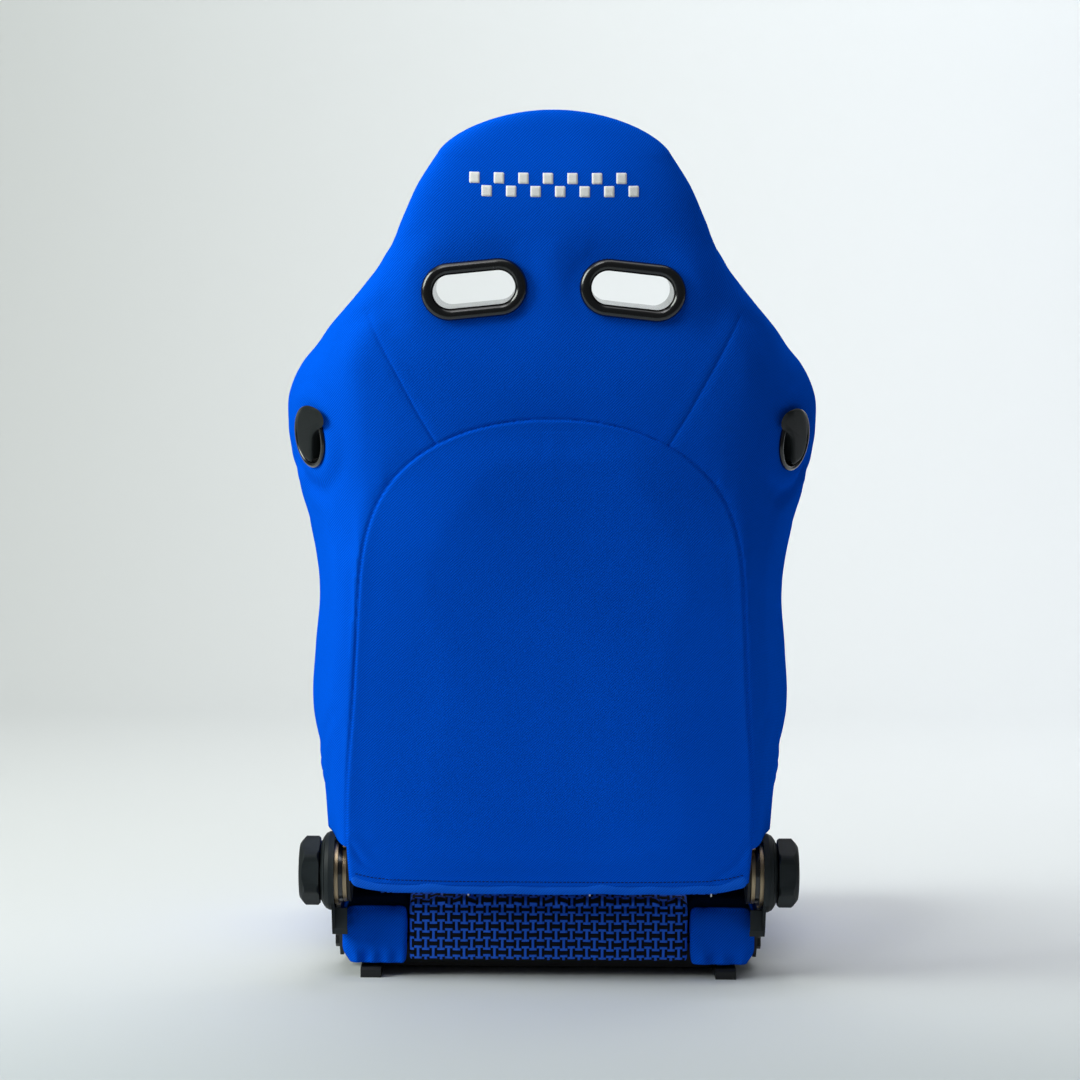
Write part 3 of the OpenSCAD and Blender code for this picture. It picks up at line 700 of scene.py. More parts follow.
def head_half(s):
    """Half outline of the head section: a rounded slab that narrows to the dome."""
    u = max(0.0, (s - DOME_FROM) / (TOP - DOME_FROM))
    base = min(s, DOME_FROM)
    w = float(at(WIDTH, base)) * (1 - u**1.35)**0.52
    r, h = float(at(REAR, base + 0.7 * (s - base))), float(at(HEAD, max(base, 575)))
    middle = (r + h) / 2 * (1 - smooth(0, 1, u)) - 15 * smooth(0, 1, u)
    half = (r - h) / 2 * math.sqrt(max(0.0, 1 - u * u))
    angle = np.linspace(math.pi / 2, -math.pi / 2, 241)
    lean = np.sign(np.sin(angle)) * np.abs(np.sin(angle))**0.62
    x = w * np.maximum(np.cos(angle), 0)**0.78
    x[0] = x[-1] = 0
    return np.stack([x, middle + half * lean], axis=-1)


def half_outline(s, n):
    """Half outline at any height: the backrest's below, the head section's above, and a blend between."""
    k = smooth(HEAD_FROM, HEAD_TO, s)
    if k == 0:
        return resample(bolster_half(s), n + 1)
    head = resample(head_half(s), n + 1)
    return head if k == 1 else resample(bolster_half(s), n + 1) * (1 - k) + head * k


def outline(s, n):
    """Closed outline [x, depth] at a height: rear middle, left side, front middle, right side."""
    half = half_outline(s, n)
    other = half[1:-1][::-1] * (-1, 1)
    return np.vstack([half, other])


def cover_rows(n):
    """n heights from the lower edge to the top, closer together on the dome."""
    share = 0.82
    v = np.linspace(0, 1, n)
    flat = BOTTOM + (DOME_FROM - BOTTOM) * v / share
    k = np.clip((v - share) / (1 - share), 0, 0.985)
    dome = DOME_FROM + (TOP - DOME_FROM) * (1 - (1 - k)**1.5)
    return np.where(v < share, flat, dome)


def edge_lift(depth, s):
    """How far the cover's lower edge is drawn up towards the rear, in mm."""
    return 9.0 * smooth(-5, 48, depth) * (1 - smooth(0, 70, s - BOTTOM))


def cover_row(s, half=HALF):
    """One row of the cover's outside, [x, depth, height]."""
    ring = outline(s, half)
    q = np.hstack([ring, np.full((len(ring), 1), float(s))])
    q[:, 2] += edge_lift(q[:, 1], q[:, 2])
    return q


def cover_grid(n, half):
    """Outside of the cover as [row, column, (x, depth, height)]."""
    return np.array([cover_row(s, half) for s in cover_rows(n)])


def arch_half(s):
    """Half width of the rear panel at a height."""
    u = np.clip((np.asarray(s, float) - ARCH_FROM) / (ARCH_TOP - ARCH_FROM), 0, 1)
    return at(ARCH, s) * (1 - u**3)**(1 / 2.2)


SHOULDER_SEAM = np.array([[184, 622], [168, 592], [151, 561], [135, 531], [116, 499]], float)
ARCH_STEPS = 1 - (1 - np.linspace(0.01, 1, 60))**2.2
arch_heights = np.concatenate([np.linspace(20, ARCH_FROM, 60),
                               ARCH_FROM + (ARCH_TOP - ARCH_FROM) * ARCH_STEPS])
ARCH_SEAM = np.stack([arch_half(arch_heights), arch_heights], axis=-1)


def distance_to(line, x, s):
    """Distance in mm from points on the rear face to a seam, which is the same on both sides."""
    p = np.stack([np.abs(x), s], axis=-1)[..., None, :]
    a, b = line[:-1], line[1:]
    ab = b - a
    k = np.clip(np.sum((p - a) * ab, axis=-1) / np.sum(ab * ab, axis=-1), 0, 1)
    return np.min(np.linalg.norm(p - (a + k[..., None] * ab), axis=-1), axis=-1)


def into_frame(p, axes, centre, side):
    """Backrest coordinates to those of a slot or lever on a side: 1 is the left, -1 the right."""
    return (p * (side, 1, 1) - centre) @ axes.T


def from_frame(q, axes, centre, side):
    return (q @ axes + centre) * (side, 1, 1)


def slot_reach(q):
    """Distance from the slot's middle line."""
    return np.hypot(np.maximum(np.abs(q[..., 0]) - SLOT_HALF, 0), q[..., 1])


def fit_skin(p):
    """Draws the cover down to the harness slot bezels and to the lever cups."""
    p = p.copy()
    for side in (-1, 1):
        q = into_frame(p, *SLOT, side)
        reach = slot_reach(q)
        for sign, rest in ((1, REAR_BEZEL_REST), (-1, -FRONT_BEZEL_REST)):
            mine = (np.sign(q[..., 2]) == sign) & (reach < SLOT_REACH)
            k = (1 - smooth(25, 68, reach)) * mine
            q[..., 2] += (rest - q[..., 2]) * k
        p = np.where((reach < SLOT_REACH)[..., None], from_frame(q, *SLOT, side), p)
        q = into_frame(p, *LEVER, side)
        reach = np.hypot(q[..., 0], q[..., 1])
        mine = (np.abs(q[..., 2]) < 45) & (reach < 60)
        q[..., 2] += (CUP_REST - q[..., 2]) * (1 - smooth(35, 58, reach)) * mine
        p = np.where(mine[..., None], from_frame(q, *LEVER, side), p)
    return p


def seam_hold(p):
    """1 where the cover is held: seams, slots, cups, edge and under the rear panel. 0 where it's free."""
    x, d, s = p[..., 0], p[..., 1], p[..., 2]
    rear = d > 0
    hold = np.zeros(x.shape)
    hold = np.maximum(hold, (1 - smooth(5, 16, distance_to(SHOULDER_SEAM, x, s))) * rear)
    under = np.abs(x) < arch_half(s) + 6
    hold = np.maximum(hold, 1.0 * (under & rear & (s < ARCH_TOP + 6)))
    for side in (-1, 1):
        hold = np.maximum(hold, 1.0 * (slot_reach(into_frame(p, *SLOT, side)) < 40))
        q = into_frame(p, *LEVER, side)
        hold = np.maximum(hold, 1.0 * ((np.hypot(q[..., 0], q[..., 1]) < 46) & (np.abs(q[..., 2]) < 40)))
    hold = np.maximum(hold, 1 - smooth(70, 110, s))
    hold = np.maximum(hold, smooth(770, 796, s))
    inner = (d < at(FRONT, np.minimum(s, 600)) + 12) & (np.abs(x) < 152) & (s < 590)
    return np.maximum(hold, 1.0 * (inner & (d < 0)))


def loop_normals(loop):
    """Unit normals, in its plane, of a closed loop."""
    step = np.roll(loop, -1, axis=0) - np.roll(loop, 1, axis=0)
    normal = np.stack([-step[:, 1], step[:, 0]], axis=-1)
    return normal / np.maximum(np.linalg.norm(normal, axis=1, keepdims=True), 1e-9)


def wall_inside(p):
    """The cover's inside at its open bottom, clear of the brackets."""
    normal = loop_normals(p)
    if np.sum(normal * (p[:, :2] - p.mean(axis=0)[:2])) > 0:
        normal = -normal
    q = p.copy()
    q[:, :2] += WALL * normal
    q[:, 0] = np.clip(q[:, 0], -BRACKET_IN, BRACKET_IN)
    q[:, 1] = np.maximum(q[:, 1], -56)
    return q


def cut(obj, cutters):
    """Takes closed cutters out of a closed mesh."""
    for cutter in cutters:
        mod = obj.modifiers.new("Cut", "BOOLEAN")
        mod.operation = "DIFFERENCE"
        mod.object = cutter
        mod.solver = "EXACT"
    bake_modifiers(obj)
    for cutter in cutters:
        bpy.data.meshes.remove(cutter.data)
    return obj


def prism(name, outline_xy, z0, z1, axes, centre, side):
    """Closed prism of an outline in a local frame of the backrest, in the row frame."""
    n = len(outline_xy)
    low = np.hstack([outline_xy, np.full((n, 1), z0)])
    high = np.hstack([outline_xy, np.full((n, 1), z1)])
    points = to_row(from_frame(np.vstack([low, high]), axes, centre, side))
    obj = mesh_object(name, points, tube_faces(2, n), False)
    face_outwards(obj)
    return obj


def stadium(radius, steps=28):
    turn = np.linspace(-math.pi / 2, math.pi / 2, steps)
    right = np.stack([SLOT_HALF + radius * np.cos(turn), radius * np.sin(turn)], axis=-1)
    return np.vstack([right, -right])


def disc(radius, steps=64):
    turn = np.arange(steps) * 2 * math.pi / steps
    return np.stack([radius * np.cos(turn), radius * np.sin(turn)], axis=-1)


def split_near(obj, near, cuts):
    """Cuts the faces near a seam into smaller ones."""
    with editing(obj) as bm:
        bm.verts.ensure_lookup_table()
        mark = near(from_row(np.array([v.co for v in bm.verts])))
        edges = [e for e in bm.edges if mark[e.verts[0].index] and mark[e.verts[1].index]]
        bmesh.ops.subdivide_edges(bm, edges=edges, cuts=cuts, use_grid_fill=True, smooth=0)


def groove(distance, depth, half):
    """How far a seam draws the cloth in: a sharp valley with soft shoulders, in mm."""
    v = np.clip(1 - distance / half, 0, 1)
    return depth * v * v * (0.55 + 0.45 * v)


def build_back_cover():
    coarse = fit_skin(cover_grid(66, 48))
    moved = puff_grid(to_row(coarse), seam_hold(coarse), 0.0045, 5.0)
    p = fit_skin(cover_grid(COVER_ROWS, HALF))
    outside = to_row(p)
    free = 1 - smooth(0.9, 1.0, seam_hold(p))
    outside = outside + refine(moved, COVER_ROWS, 2 * HALF) * free[..., None]
    inside = [to_row(wall_inside(cover_row(s))) for s in (128, 114, 96, 78, 62, 50, 44)]
    edge = cover_row(BOTTOM)
    roll = (edge + wall_inside(edge)) / 2
    roll[:, 2] -= 1.6
    grid = np.concatenate([np.array(inside), to_row(roll)[None], outside])
    obj = grid_object("back_cover", grid, wrap_uv(grid, HALF))

    def near(q):
        rear = q[:, 1] > 15
        arch = distance_to(ARCH_SEAM, q[:, 0], q[:, 2]) < 8
        shoulder = distance_to(SHOULDER_SEAM, q[:, 0], q[:, 2]) < 8
        return rear & (arch | shoulder) & (q[:, 2] > 45)

    split_near(obj, near, 2)
    q = from_row(points_of(obj.data))
    rear = (q[:, 1] > 12) & (q[:, 2] > 45)
    arch = distance_to(ARCH_SEAM, q[:, 0], q[:, 2])
    shoulder = distance_to(SHOULDER_SEAM, q[:, 0], q[:, 2])
    outer = (np.abs(q[:, 0]) > arch_half(q[:, 2])) | (q[:, 2] > ARCH_TOP)
    sink = groove(arch, 1.5, 4.5) * outer + groove(shoulder, 1.3, 3.2)
    swell = 0.4 * np.exp(-((shoulder - 8) / 5)**2)
    q[:, 1] += (swell - sink) * rear
    move_points(obj, to_row(q))
    cutters = []
    for side in (-1, 1):
        cutters.append(prism("slot_cutter", stadium(SLOT_CUT_R), -90, 90, *SLOT, side))
        cutters.append(prism("cup_cutter", disc(CUP_CUT_R), -CUP_DEPTH, 40, *LEVER, side))
    cut(obj, cutters)
    shade_smooth(obj)
    return obj


back_cover = dress(build_back_cover(), knit, "backrest")
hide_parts("back_bolster_left", "back_bolster_right", "headrest_foam", "upper_back_panel")


# ---- Rear panel, hem and stitches ----

def rear_depth(x, s):
    """Depth of the cover's rear face at a height, before seams."""
    half = half_outline(float(np.clip(s, BOTTOM, 700)), HALF)
    n = int(np.argmax(half[:, 0] > float(at(CORNER, s)) + 4)) or len(half)
    low = float(at(REAR, s)) - float(at(REAR, max(s, BOTTOM)))
    return np.interp(np.abs(x), half[:n, 0], half[:n, 1]) + low


def flat_uv(p):
    """corner_uv values straight on from the rear, for a grid in backrest coordinates."""
    return p[..., 0] * MM, (np.roll(p[..., 0], -1, axis=1) - p[..., 0]) * MM, p[..., 2] * MM


def corner_crease(x, s):
    """Diagonal pull from each lower corner of the rear panel to the hem, deeper on the left, in mm."""
    gap = distance_to(np.array([[209, 58], [196, 34], [174, 19]], float), x, np.full_like(x, s))
    strength = np.where(x > 0, 1.0, 0.6)
    return strength * (0.6 * np.exp(-((gap - 8) / 5)**2) - 1.1 * np.exp(-(gap / 3.0)**2))


def build_rear_panel(n_rows, n_out, n_in):
    v = np.linspace(0, 1, n_rows)
    share = 0.62
    round_part = 1 - (1 - np.clip((v - share) / (1 - share), 0, 1))**2.0
    heights = np.where(v < share, 12 + (ARCH_FROM - 12) * v / share,
                       ARCH_FROM + (ARCH_TOP - 0.3 - ARCH_FROM) * round_part)
    p = np.zeros((n_rows, n_out + n_in, 3))
    for i, s in enumerate(heights):
        w = max(float(arch_half(s)), 1.5)
        slope = float(arch_half(min(s + 1, ARCH_TOP - 0.2))) - w if s < ARCH_TOP - 2 else -12.0
        turn = np.linspace(-1, 1, n_out)
        x = w * (0.75 * turn + 0.25 * np.sin(turn * math.pi / 2))
        edge = (w - np.abs(x)) / math.sqrt(1 + slope * slope)
        edge = np.minimum(edge, max(ARCH_TOP - s, 0.0)) if s > ARCH_TOP - 12 else edge
        lift = -1.3 + 2.5 * np.sqrt(1 - (1 - np.clip(edge / 3.6, 0, 1))**2) + 1.2 * smooth(4, 70, edge)
        p[i, :n_out, 0] = x
        p[i, :n_out, 1] = rear_depth(x, s) + lift + corner_crease(x, s)
        xi = np.linspace(w, -w, n_in + 2)[1:-1]
        p[i, n_out:, 0] = xi
        p[i, n_out:, 1] = rear_depth(xi, s) - 2.6
        p[i, :, 2] = s
    return p


def below_arch(grid):
    """0 at the top of the rear panel's arch and 1 well below it, for each row."""
    return smooth(4, 45, ARCH_TOP - grid[:, :1, 2])[..., None]


panel_grid, panel_row = swelled_pad(build_rear_panel, (250, 170, 60), (50, 34, 12), held_rows=2, cap=0.0022,
                                    pressure=3.0, fade=12, share=below_arch)
rear_cover = dress(grid_object("rear_panel_cover", panel_row, flat_uv(panel_grid)), knit,
                   "backrest")
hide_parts("rear_panel")


# The hem's ends, the height of its middle, half its height, and the stitches above it, in mm
HEM_END = 209
HEM_MIDDLE = 8.6
HEM_HALF = 6.7
STITCH_PITCH, STITCH_LENGTH, STITCH_HEIGHT, STITCH_OUT = 4.05, 2.9, 17.2, 0.15


def hem_rise(x):
    """How far the hem climbs towards the panel's lower corners."""
    return 6.5 * np.clip((np.abs(x) - 165) / 46, 0, 1)**1.6


def build_hem():
    xs = np.linspace(-HEM_END, HEM_END, 420)
    turn = np.arange(28) * 2 * math.pi / 28
    p = np.zeros((len(xs), 28, 3))
    rng = np.random.default_rng(4)
    waves = [(rng.uniform(0.02, 0.14), rng.uniform(0, 6.28), rng.uniform(0.15, 0.5)) for _ in range(10)]
    for i, x in enumerate(xs):
        end = math.sqrt(max(0.0, 1 - (max(abs(x) - 203, 0) / 6.2)**2)) + 0.02
        wobble = sum(a * math.sin(f * x + ph) for f, ph, a in waves)
        depth = float(rear_depth(np.array([x]), 14.0)[0]) - 0.8
        dd = np.sign(np.sin(turn)) * np.abs(np.sin(turn))**0.7 * 3.4 * end
        ss = np.sign(np.cos(turn)) * np.abs(np.cos(turn))**0.55 * HEM_HALF * end
        dent = 0.8 * np.exp(-((ss - HEM_HALF + 2.4) / 1.5)**2) * (dd > 0)
        p[i, :, 0] = x
        p[i, :, 1] = depth + dd + 0.35 * wobble * (dd > 0) - dent
        p[i, :, 2] = HEM_MIDDLE + hem_rise(x) + ss + 0.5 * wobble
    return p


hem_object = grid_object("rear_panel_hem_band", to_row(build_hem()))
box_uv(hem_object)
hem = dress(hem_object, hem_knit, "backrest")
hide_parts("rear_panel_hem")


def capsules(name, starts, ends, radius, sides=8):
    """One mesh of small round-ended rods that lie across the seat."""
    turn = np.arange(sides)[:, None] * 2 * math.pi / sides
    verts, faces = [], []
    for a, b in zip(starts, ends):
        axis = (b - a) / np.linalg.norm(b - a)
        u = np.cross(axis, (0, 0, 1.0))
        u /= np.linalg.norm(u)
        ring = np.cos(turn) * u + np.sin(turn) * np.cross(axis, u)
        faces += [tuple(len(verts) + i for i in face) for face in tube_faces(4, sides)]
        for centre, shift, r in ((a, 0, 0.45), (a, 0.6, 1.0), (b, -0.6, 1.0), (b, 0, 0.45)):
            verts += list(centre + axis * shift * radius + radius * r * ring)
    obj = mesh_object(name, verts, faces)
    face_outwards(obj)
    return obj


def surface_depth(obj):
    """Function giving the depth in mm of an object's rear face at (x, height)."""
    tree = BVHTree.FromPolygons([tuple(v) for v in from_row(points_of(obj.data))],
                                [tuple(f.vertices) for f in obj.data.polygons])

    def depth(x, s):
        hit = tree.ray_cast(Vector((float(x), 300.0, float(s))), Vector((0, -1, 0)))[0]
        return hit[1] if hit is not None else None
    return depth


on_panel = surface_depth(rear_cover)
stitch_from, stitch_to = [], []
for k in range(-50, 51):
    x0 = k * STITCH_PITCH - 1.5
    s0 = STITCH_HEIGHT + float(hem_rise(x0))
    d0, d1 = on_panel(x0, s0), on_panel(x0 + STITCH_LENGTH, s0)
    if d0 and d1:
        stitch_from.append((x0, d0 + STITCH_OUT, s0))
        stitch_to.append((x0 + STITCH_LENGTH, d1 + STITCH_OUT, s0))
dress(capsules("hem_stitches", to_row(stitch_from), to_row(stitch_to), 0.00042), dark_thread,
      "backrest")


# ---- White embroidered band on the head section, two rows of blocks, in place of any lettering ----

# Width and pitch of the blocks in mm, points along each, height of the band's foot, and places in a row
BLOCK, BLOCK_PITCH, BLOCK_STEPS = 11.2, 12.0, 9
BAND_LOW, BAND_COUNT = 741, 14


def build_band():
    """Two rows of domed square blocks, each a closed plate whose underside lies in the cover."""
    on_cover = surface_depth(back_cover)
    steps = BLOCK_STEPS
    rim = ([i * steps for i in range(steps)] + [(steps - 1) * steps + j for j in range(1, steps)]
           + [i * steps + steps - 1 for i in range(steps - 2, -1, -1)] + list(range(steps - 2, 0, -1)))
    quads = grid_faces(steps, steps, False)
    verts, faces = [], []
    for row, k in [(row, k) for row in (0, 1) for k in range(BAND_COUNT) if (k + row) % 2 == 0]:
        x0, s0 = (k - BAND_COUNT / 2) * BLOCK_PITCH + 0.4, BAND_LOW + row * BLOCK_PITCH
        top, under = [], []
        for u in np.linspace(0, 1, steps):
            for v in np.linspace(0, 1, steps):
                x, s = x0 + u * BLOCK, s0 + v * BLOCK
                depth, edge = on_cover(x, s), min(u, 1 - u, v, 1 - v) * BLOCK
                top.append((x, depth - 0.5 + 1.35 * math.sqrt(1 - (1 - min(edge / 1.4, 1))**2), s))
                under.append((x, depth - 1.2, s))
        t = len(verts)
        w = t + len(top)
        verts += top + under
        for a, b, c, d in quads:
            faces += [(t + a, t + b, t + c, t + d), (w + a, w + d, w + c, w + b)]
        faces += [(t + a, t + b, w + b, w + a) for a, b in zip(rim, rim[1:] + rim[:1])]
    obj = mesh_object("embroidered_band", to_row(verts), faces)
    face_outwards(obj)
    return obj


dress(build_band(), white_thread, "backrest")


# ---- Cushion ----

# Outlines [y from the recline axis, height] in mm: a cushion side with its nose, the outer swell on it, the
# insert's rear and top, and the cushion's front edge
SIDE_PROFILE = np.array([(-9, 15), (-9, 67), (-13, 76), (-21, 79), (-60, 79), (-67, 105), (-106, 122),
                         (-153, 142), (-214, 171), (-265, 196), (-330, 216), (-400, 219), (-430, 214),
                         (-460, 200), (-483, 167), (-493, 120), (-486, 68), (-466, 40), (-452, 49),
                         (-24, 49), (-24, 15)], float)
WING_PROFILE = np.array([(-168, 112), (-190, 135), (-218, 156), (-267, 181), (-330, 203), (-400, 209),
                         (-430, 203), (-454, 189), (-472, 158), (-480, 118), (-472, 82), (-456, 66),
                         (-262, 73), (-245, 81)], float)
INSERT_FACE = np.array([(-10, 18), (-10, 74), (-17, 83), (-28, 85), (-41, 98), (-53, 106), (-75, 108),
                        (-110, 109), (-200, 121), (-300, 146), (-380, 168), (-428, 175)], float)
NOSE_PROFILE = np.array([(-427, 49), (-427, 177), (-462, 171), (-486, 149), (-495, 112), (-487, 64),
                         (-466, 38), (-454, 38), (-454, 49)], float)
# Where the pieces lie across, in mm from the middle
SIDE_X = (151.5, 223)
WING_X = (200, 243)
INSERT_X = (-150, 150)
NOSE_X = (-152, 152)
HUB_X = (208, 262)
HUB_CUT_R = 26.5


def slab(name, profile, places):
    """Closed slab of a [y, z] profile between two places across, in the row frame."""
    x0, x1 = places
    n = len(profile)
    low = np.column_stack([np.full(n, x0), profile[:, 0] + HINGE[1] / MM, profile[:, 1]])
    high = low.copy()
    high[:, 0] = x1
    obj = mesh_object(name, np.vstack([low, high]) * MM, tube_faces(2, n), False)
    face_outwards(obj)
    return obj


def join(objects, name):
    """One mesh of several closed ones."""
    verts, faces = [], []
    for obj in objects:
        first = len(verts)
        verts += [tuple(v.co) for v in obj.data.vertices]
        faces += [tuple(first + i for i in f.vertices) for f in obj.data.polygons]
        bpy.data.meshes.remove(obj.data)
    return mesh_object(name, verts, faces, False)


def shift_points(obj, move):
    """Moves an object's points by move(points in mm) in mm."""
    co = points_of(obj.data) / MM
    move_points(obj, (co + move(co)) * MM)


def folds(u, rng, n, low, high):
    """Sum of n waves along u, each one per low to high mm."""
    total = np.zeros_like(u)
    for _ in range(n):
        total += np.sin(2 * math.pi * u / rng.uniform(low, high) + rng.uniform(0, 6.28))
    return total / math.sqrt(n)


def underside(q):
    """1 on the part of the cushion that sits on the pan, 0 above it."""
    return 1 - smooth(50, 56, q[:, 2])


def build_cushion_side(side):
    body = slab("cushion_body", SIDE_PROFILE, SIDE_X)
    wing = slab("cushion_wing", WING_PROFILE, WING_X)
    obj = join([body, wing], "cushion_side")
    if side < 0:
        shift_points(obj, lambda p: p * (-2, 0, 0))
        face_outwards(obj)

    def held(co):
        q = co / MM
        inner = 1 - smooth(153, 158, np.abs(q[:, 0]))
        return np.clip(0.9 * underside(q) + 0.5 * inner, 0, 1)

    obj = padded_solid("cushion_side_" + ("left" if side > 0 else "right"), obj, 0.005, 0.0045, 5.0, held)
    rng = np.random.default_rng(5 + side)

    def tucks(p):
        y, z = p[:, 1] - HINGE[1] / MM, p[:, 2]
        back = smooth(-30, -14, y)
        low = np.exp(-((z - 22) / 9)**2)
        out = np.zeros_like(p)
        out[:, 1] = -back * low * (1.2 + 1.5 * folds(p[:, 0], rng, 4, 9, 26))
        x = np.abs(p[:, 0])
        corner = smooth(205, 218, x) * back
        out[:, 1] -= corner * 1.4 * np.exp(-((z - 66 + 0.3 * (x - 200)) / 5)**2)
        out[:, 1] -= 6.0 * smooth(206, 226, x)**1.5 * smooth(-50, -12, y)
        out[:, 1] -= 1.6 * back * np.exp(-((x - 168 - 0.35 * (z - 80)) / 4.5)**2) * smooth(58, 84, z)
        out[:, 1] -= 1.2 * back * np.exp(-((x - 200 + 0.8 * (z - 17)) / 5)**2) * smooth(44, 22, z)
        round_in = smooth(34, 12, z) * smooth(-120, -30, y)
        out[:, 0] -= np.sign(p[:, 0]) * 7.0 * round_in**1.4 * smooth(198, 224, x)
        return out

    shift_points(obj, tucks)
    hub = slab("hub_cutter", disc(HUB_CUT_R, 40) + np.array([0, HINGE[2] / MM]), [side * x for x in HUB_X])
    cut(obj, [hub])
    box_uv(obj)
    return obj


def walk(profile, y, z):
    """Length in mm along a profile to the place nearest each (y, z)."""
    a, b = profile[:-1], profile[1:]
    ab = b - a
    length = np.linalg.norm(ab, axis=1)
    start = np.concatenate([[0], np.cumsum(length)])[:-1]
    p = np.stack([y, z], axis=-1)[:, None, :]
    k = np.clip(np.sum((p - a) * ab, axis=-1) / length**2, 0, 1)
    gap = np.linalg.norm(p - (a + k[..., None] * ab), axis=-1)
    i = np.argmin(gap, axis=1)
    rows = np.arange(len(y))
    return start[i] + k[rows, i] * length[i]


def build_cushion_insert():
    profile = np.vstack([INSERT_FACE, [(-428, 49), (-24, 49), (-24, 18)]])
    obj = slab("insert_body", profile, INSERT_X)

    def held(co):
        q = co / MM
        skirt = smooth(-30, -20, q[:, 1] - HINGE[1] / MM) * (q[:, 2] < 70)
        sides = smooth(142, 149, np.abs(q[:, 0]))
        return np.clip(underside(q) + 0.9 * skirt + sides, 0, 1)

    obj = padded_solid("cushion_insert", obj, 0.0048, 0.006, 5.0, held)
    rng = np.random.default_rng(11)

    def crumple(p):
        y, z = p[:, 1] - HINGE[1] / MM, p[:, 2]
        back = smooth(-40, -20, y)
        line = 79 + 1.6 * folds(p[:, 0], rng, 4, 26, 80)
        ridge = np.exp(-((z - line - 4) / 4.5)**2)
        crease = np.exp(-((z - line + 2.5) / 1.8)**2)
        out = np.zeros_like(p)
        wave = folds(p[:, 0] + 0.4 * z, rng, 5, 9, 34)
        out[:, 1] = back * (ridge * (2.2 + 1.4 * wave) - crease * 2.2)
        out[:, 2] = back * ridge * 1.6 * folds(p[:, 0], rng, 5, 12, 50)
        out[:, 1] += back * (1 - ridge) * 0.5 * folds(p[:, 0] - 0.7 * z, rng, 3, 50, 120)
        return out

    shift_points(obj, crumple)
    co = points_of(obj.data) / MM
    along = walk(INSERT_FACE, co[:, 1] - HINGE[1] / MM, co[:, 2])
    add_uv(obj, np.stack([co[:, 0], along], axis=-1) * MM)
    return obj


def build_cushion_nose():
    obj = slab("nose_body", NOSE_PROFILE, NOSE_X)

    def held(co):
        q = co / MM
        return np.clip(underside(q) + smooth(148, 151, np.abs(q[:, 0])), 0, 1)

    obj = padded_solid("cushion_front", obj, 0.005, 0.003, 4.0, held)
    box_uv(obj)
    return obj


# The cushion sides wear the knit with painted black shade on the ledge under the backrest's foot
cushion_left = dress(build_cushion_side(1), gap_shaded_knit, "base")
cushion_right = dress(build_cushion_side(-1), gap_shaded_knit, "base")
cushion_insert = dress(build_cushion_insert(), pattern, "base")
cushion_front = dress(build_cushion_nose(), knit, "base")
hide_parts("cushion_bolster_left", "cushion_nose")
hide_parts("cushion_bolster_right", "cushion_nose")
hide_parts("cushion_centre")
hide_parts("cushion_nose")


# ---- Patterned insert of the backrest ----

def insert_half_width(s):
    return 184 - 35.5 * smooth(98, 132, s)


INSERT_LOW, INSERT_TOP = -32.0, 586.0


def build_back_insert(n, half, back_points):
    """Pad with a flap at its foot that hangs in front of the drive shaft."""
    heights = np.linspace(INSERT_LOW, INSERT_TOP, n)
    p = np.zeros((n, half + back_points, 3))
    for i, s in enumerate(heights):
        w = float(insert_half_width(s))
        f = float(at(FRONT, s))
        end = min(s - INSERT_LOW, INSERT_TOP - s)
        rounded = math.sqrt(max(0.0, 1 - (1 - min(end / 9, 1))**2))
        x = np.linspace(-1, 1, half) * (w - 3 * (1 - rounded))
        edge = w - np.abs(x)
        dome = np.sqrt(np.clip(1 - (1 - np.clip(edge / 9, 0, 1))**2, 0, 1))
        front = f + 8 - 10 * dome * max(rounded, 0.15) + 9 * smooth(25, INSERT_LOW, s)
        low = 1 - smooth(104, 132, s)
        flap = 1 - smooth(20, 34, s)
        back = (f + 13) * (1 - low) + 17 * low * (1 - flap) - 13 * flap
        back = front.max() + 1 + (back - front.max() - 1) * (0.3 + 0.7 * rounded)
        p[i, :half, 0] = x
        p[i, :half, 1] = front
        xb = np.linspace(w, -w, back_points + 2)[1:-1]
        p[i, half:, 0] = xb
        p[i, half:, 1] = back
        p[i, :, 2] = s
    return p


insert_grid, insert_row = swelled_pad(build_back_insert, (230, 120, 24), (48, 26, 6), held_rows=6, cap=0.006,
                                      pressure=4.0, fade=8)
back_insert = dress(grid_object("back_insert", insert_row, flat_uv(insert_grid)), pattern,
                    "backrest")
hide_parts("back_centre_foam")


# ---- Shoulder levers: a crescent whose beak reaches over the cup's ring ----

FACE = [(-24, 3), (-21, -11), (-13, -19.5), (0, -22.5), (12, -22), (22, -17), (30, -8), (34.5, 4), (36, 18),
        (35, 29), (31, 36), (25, 37.5), (19.5, 33), (14.5, 24), (6, 15.5), (-6, 13), (-17, 12.5), (-23, 9.5)]
# (inset, height above the cup) of each loop up the lever, in mm: round its stem, then round its face
STEM_R = 23.0
STEM_LAYERS = [(1.4, -9.0), (0, -7.8), (0, 2.6)]
FACE_LAYERS = [(1.6, 4.7), (0.4, 4.9), (0, 5.4), (0.15, 6.2), (0.7, 6.9), (1.7, 7.5), (3.2, 8.0), (5.5, 8.2)]


def closed_curve(points, n):
    """Smooth closed curve through the points."""
    p = np.asarray(points, float)
    e = np.vstack([p[-1:], p, p[:2]])
    u = (np.arange(12) / 12)[:, None]
    out = []
    for i in range(len(p)):
        out.append(cubic(*e[i:i + 4], u))
    return resample(np.vstack(out), n, True)


def inset_loop(loop, by):
    """A loop drawn in by a distance, kept from crossing itself near tight corners."""
    area = np.sum(loop[:, 0] * np.roll(loop[:, 1], -1) - loop[:, 1] * np.roll(loop[:, 0], -1))
    moved = loop + loop_normals(loop) * by * (1 if area > 0 else -1)
    for _ in range(3):
        moved = (np.roll(moved, 1, axis=0) + 2 * moved + np.roll(moved, -1, axis=0)) / 4
    return moved


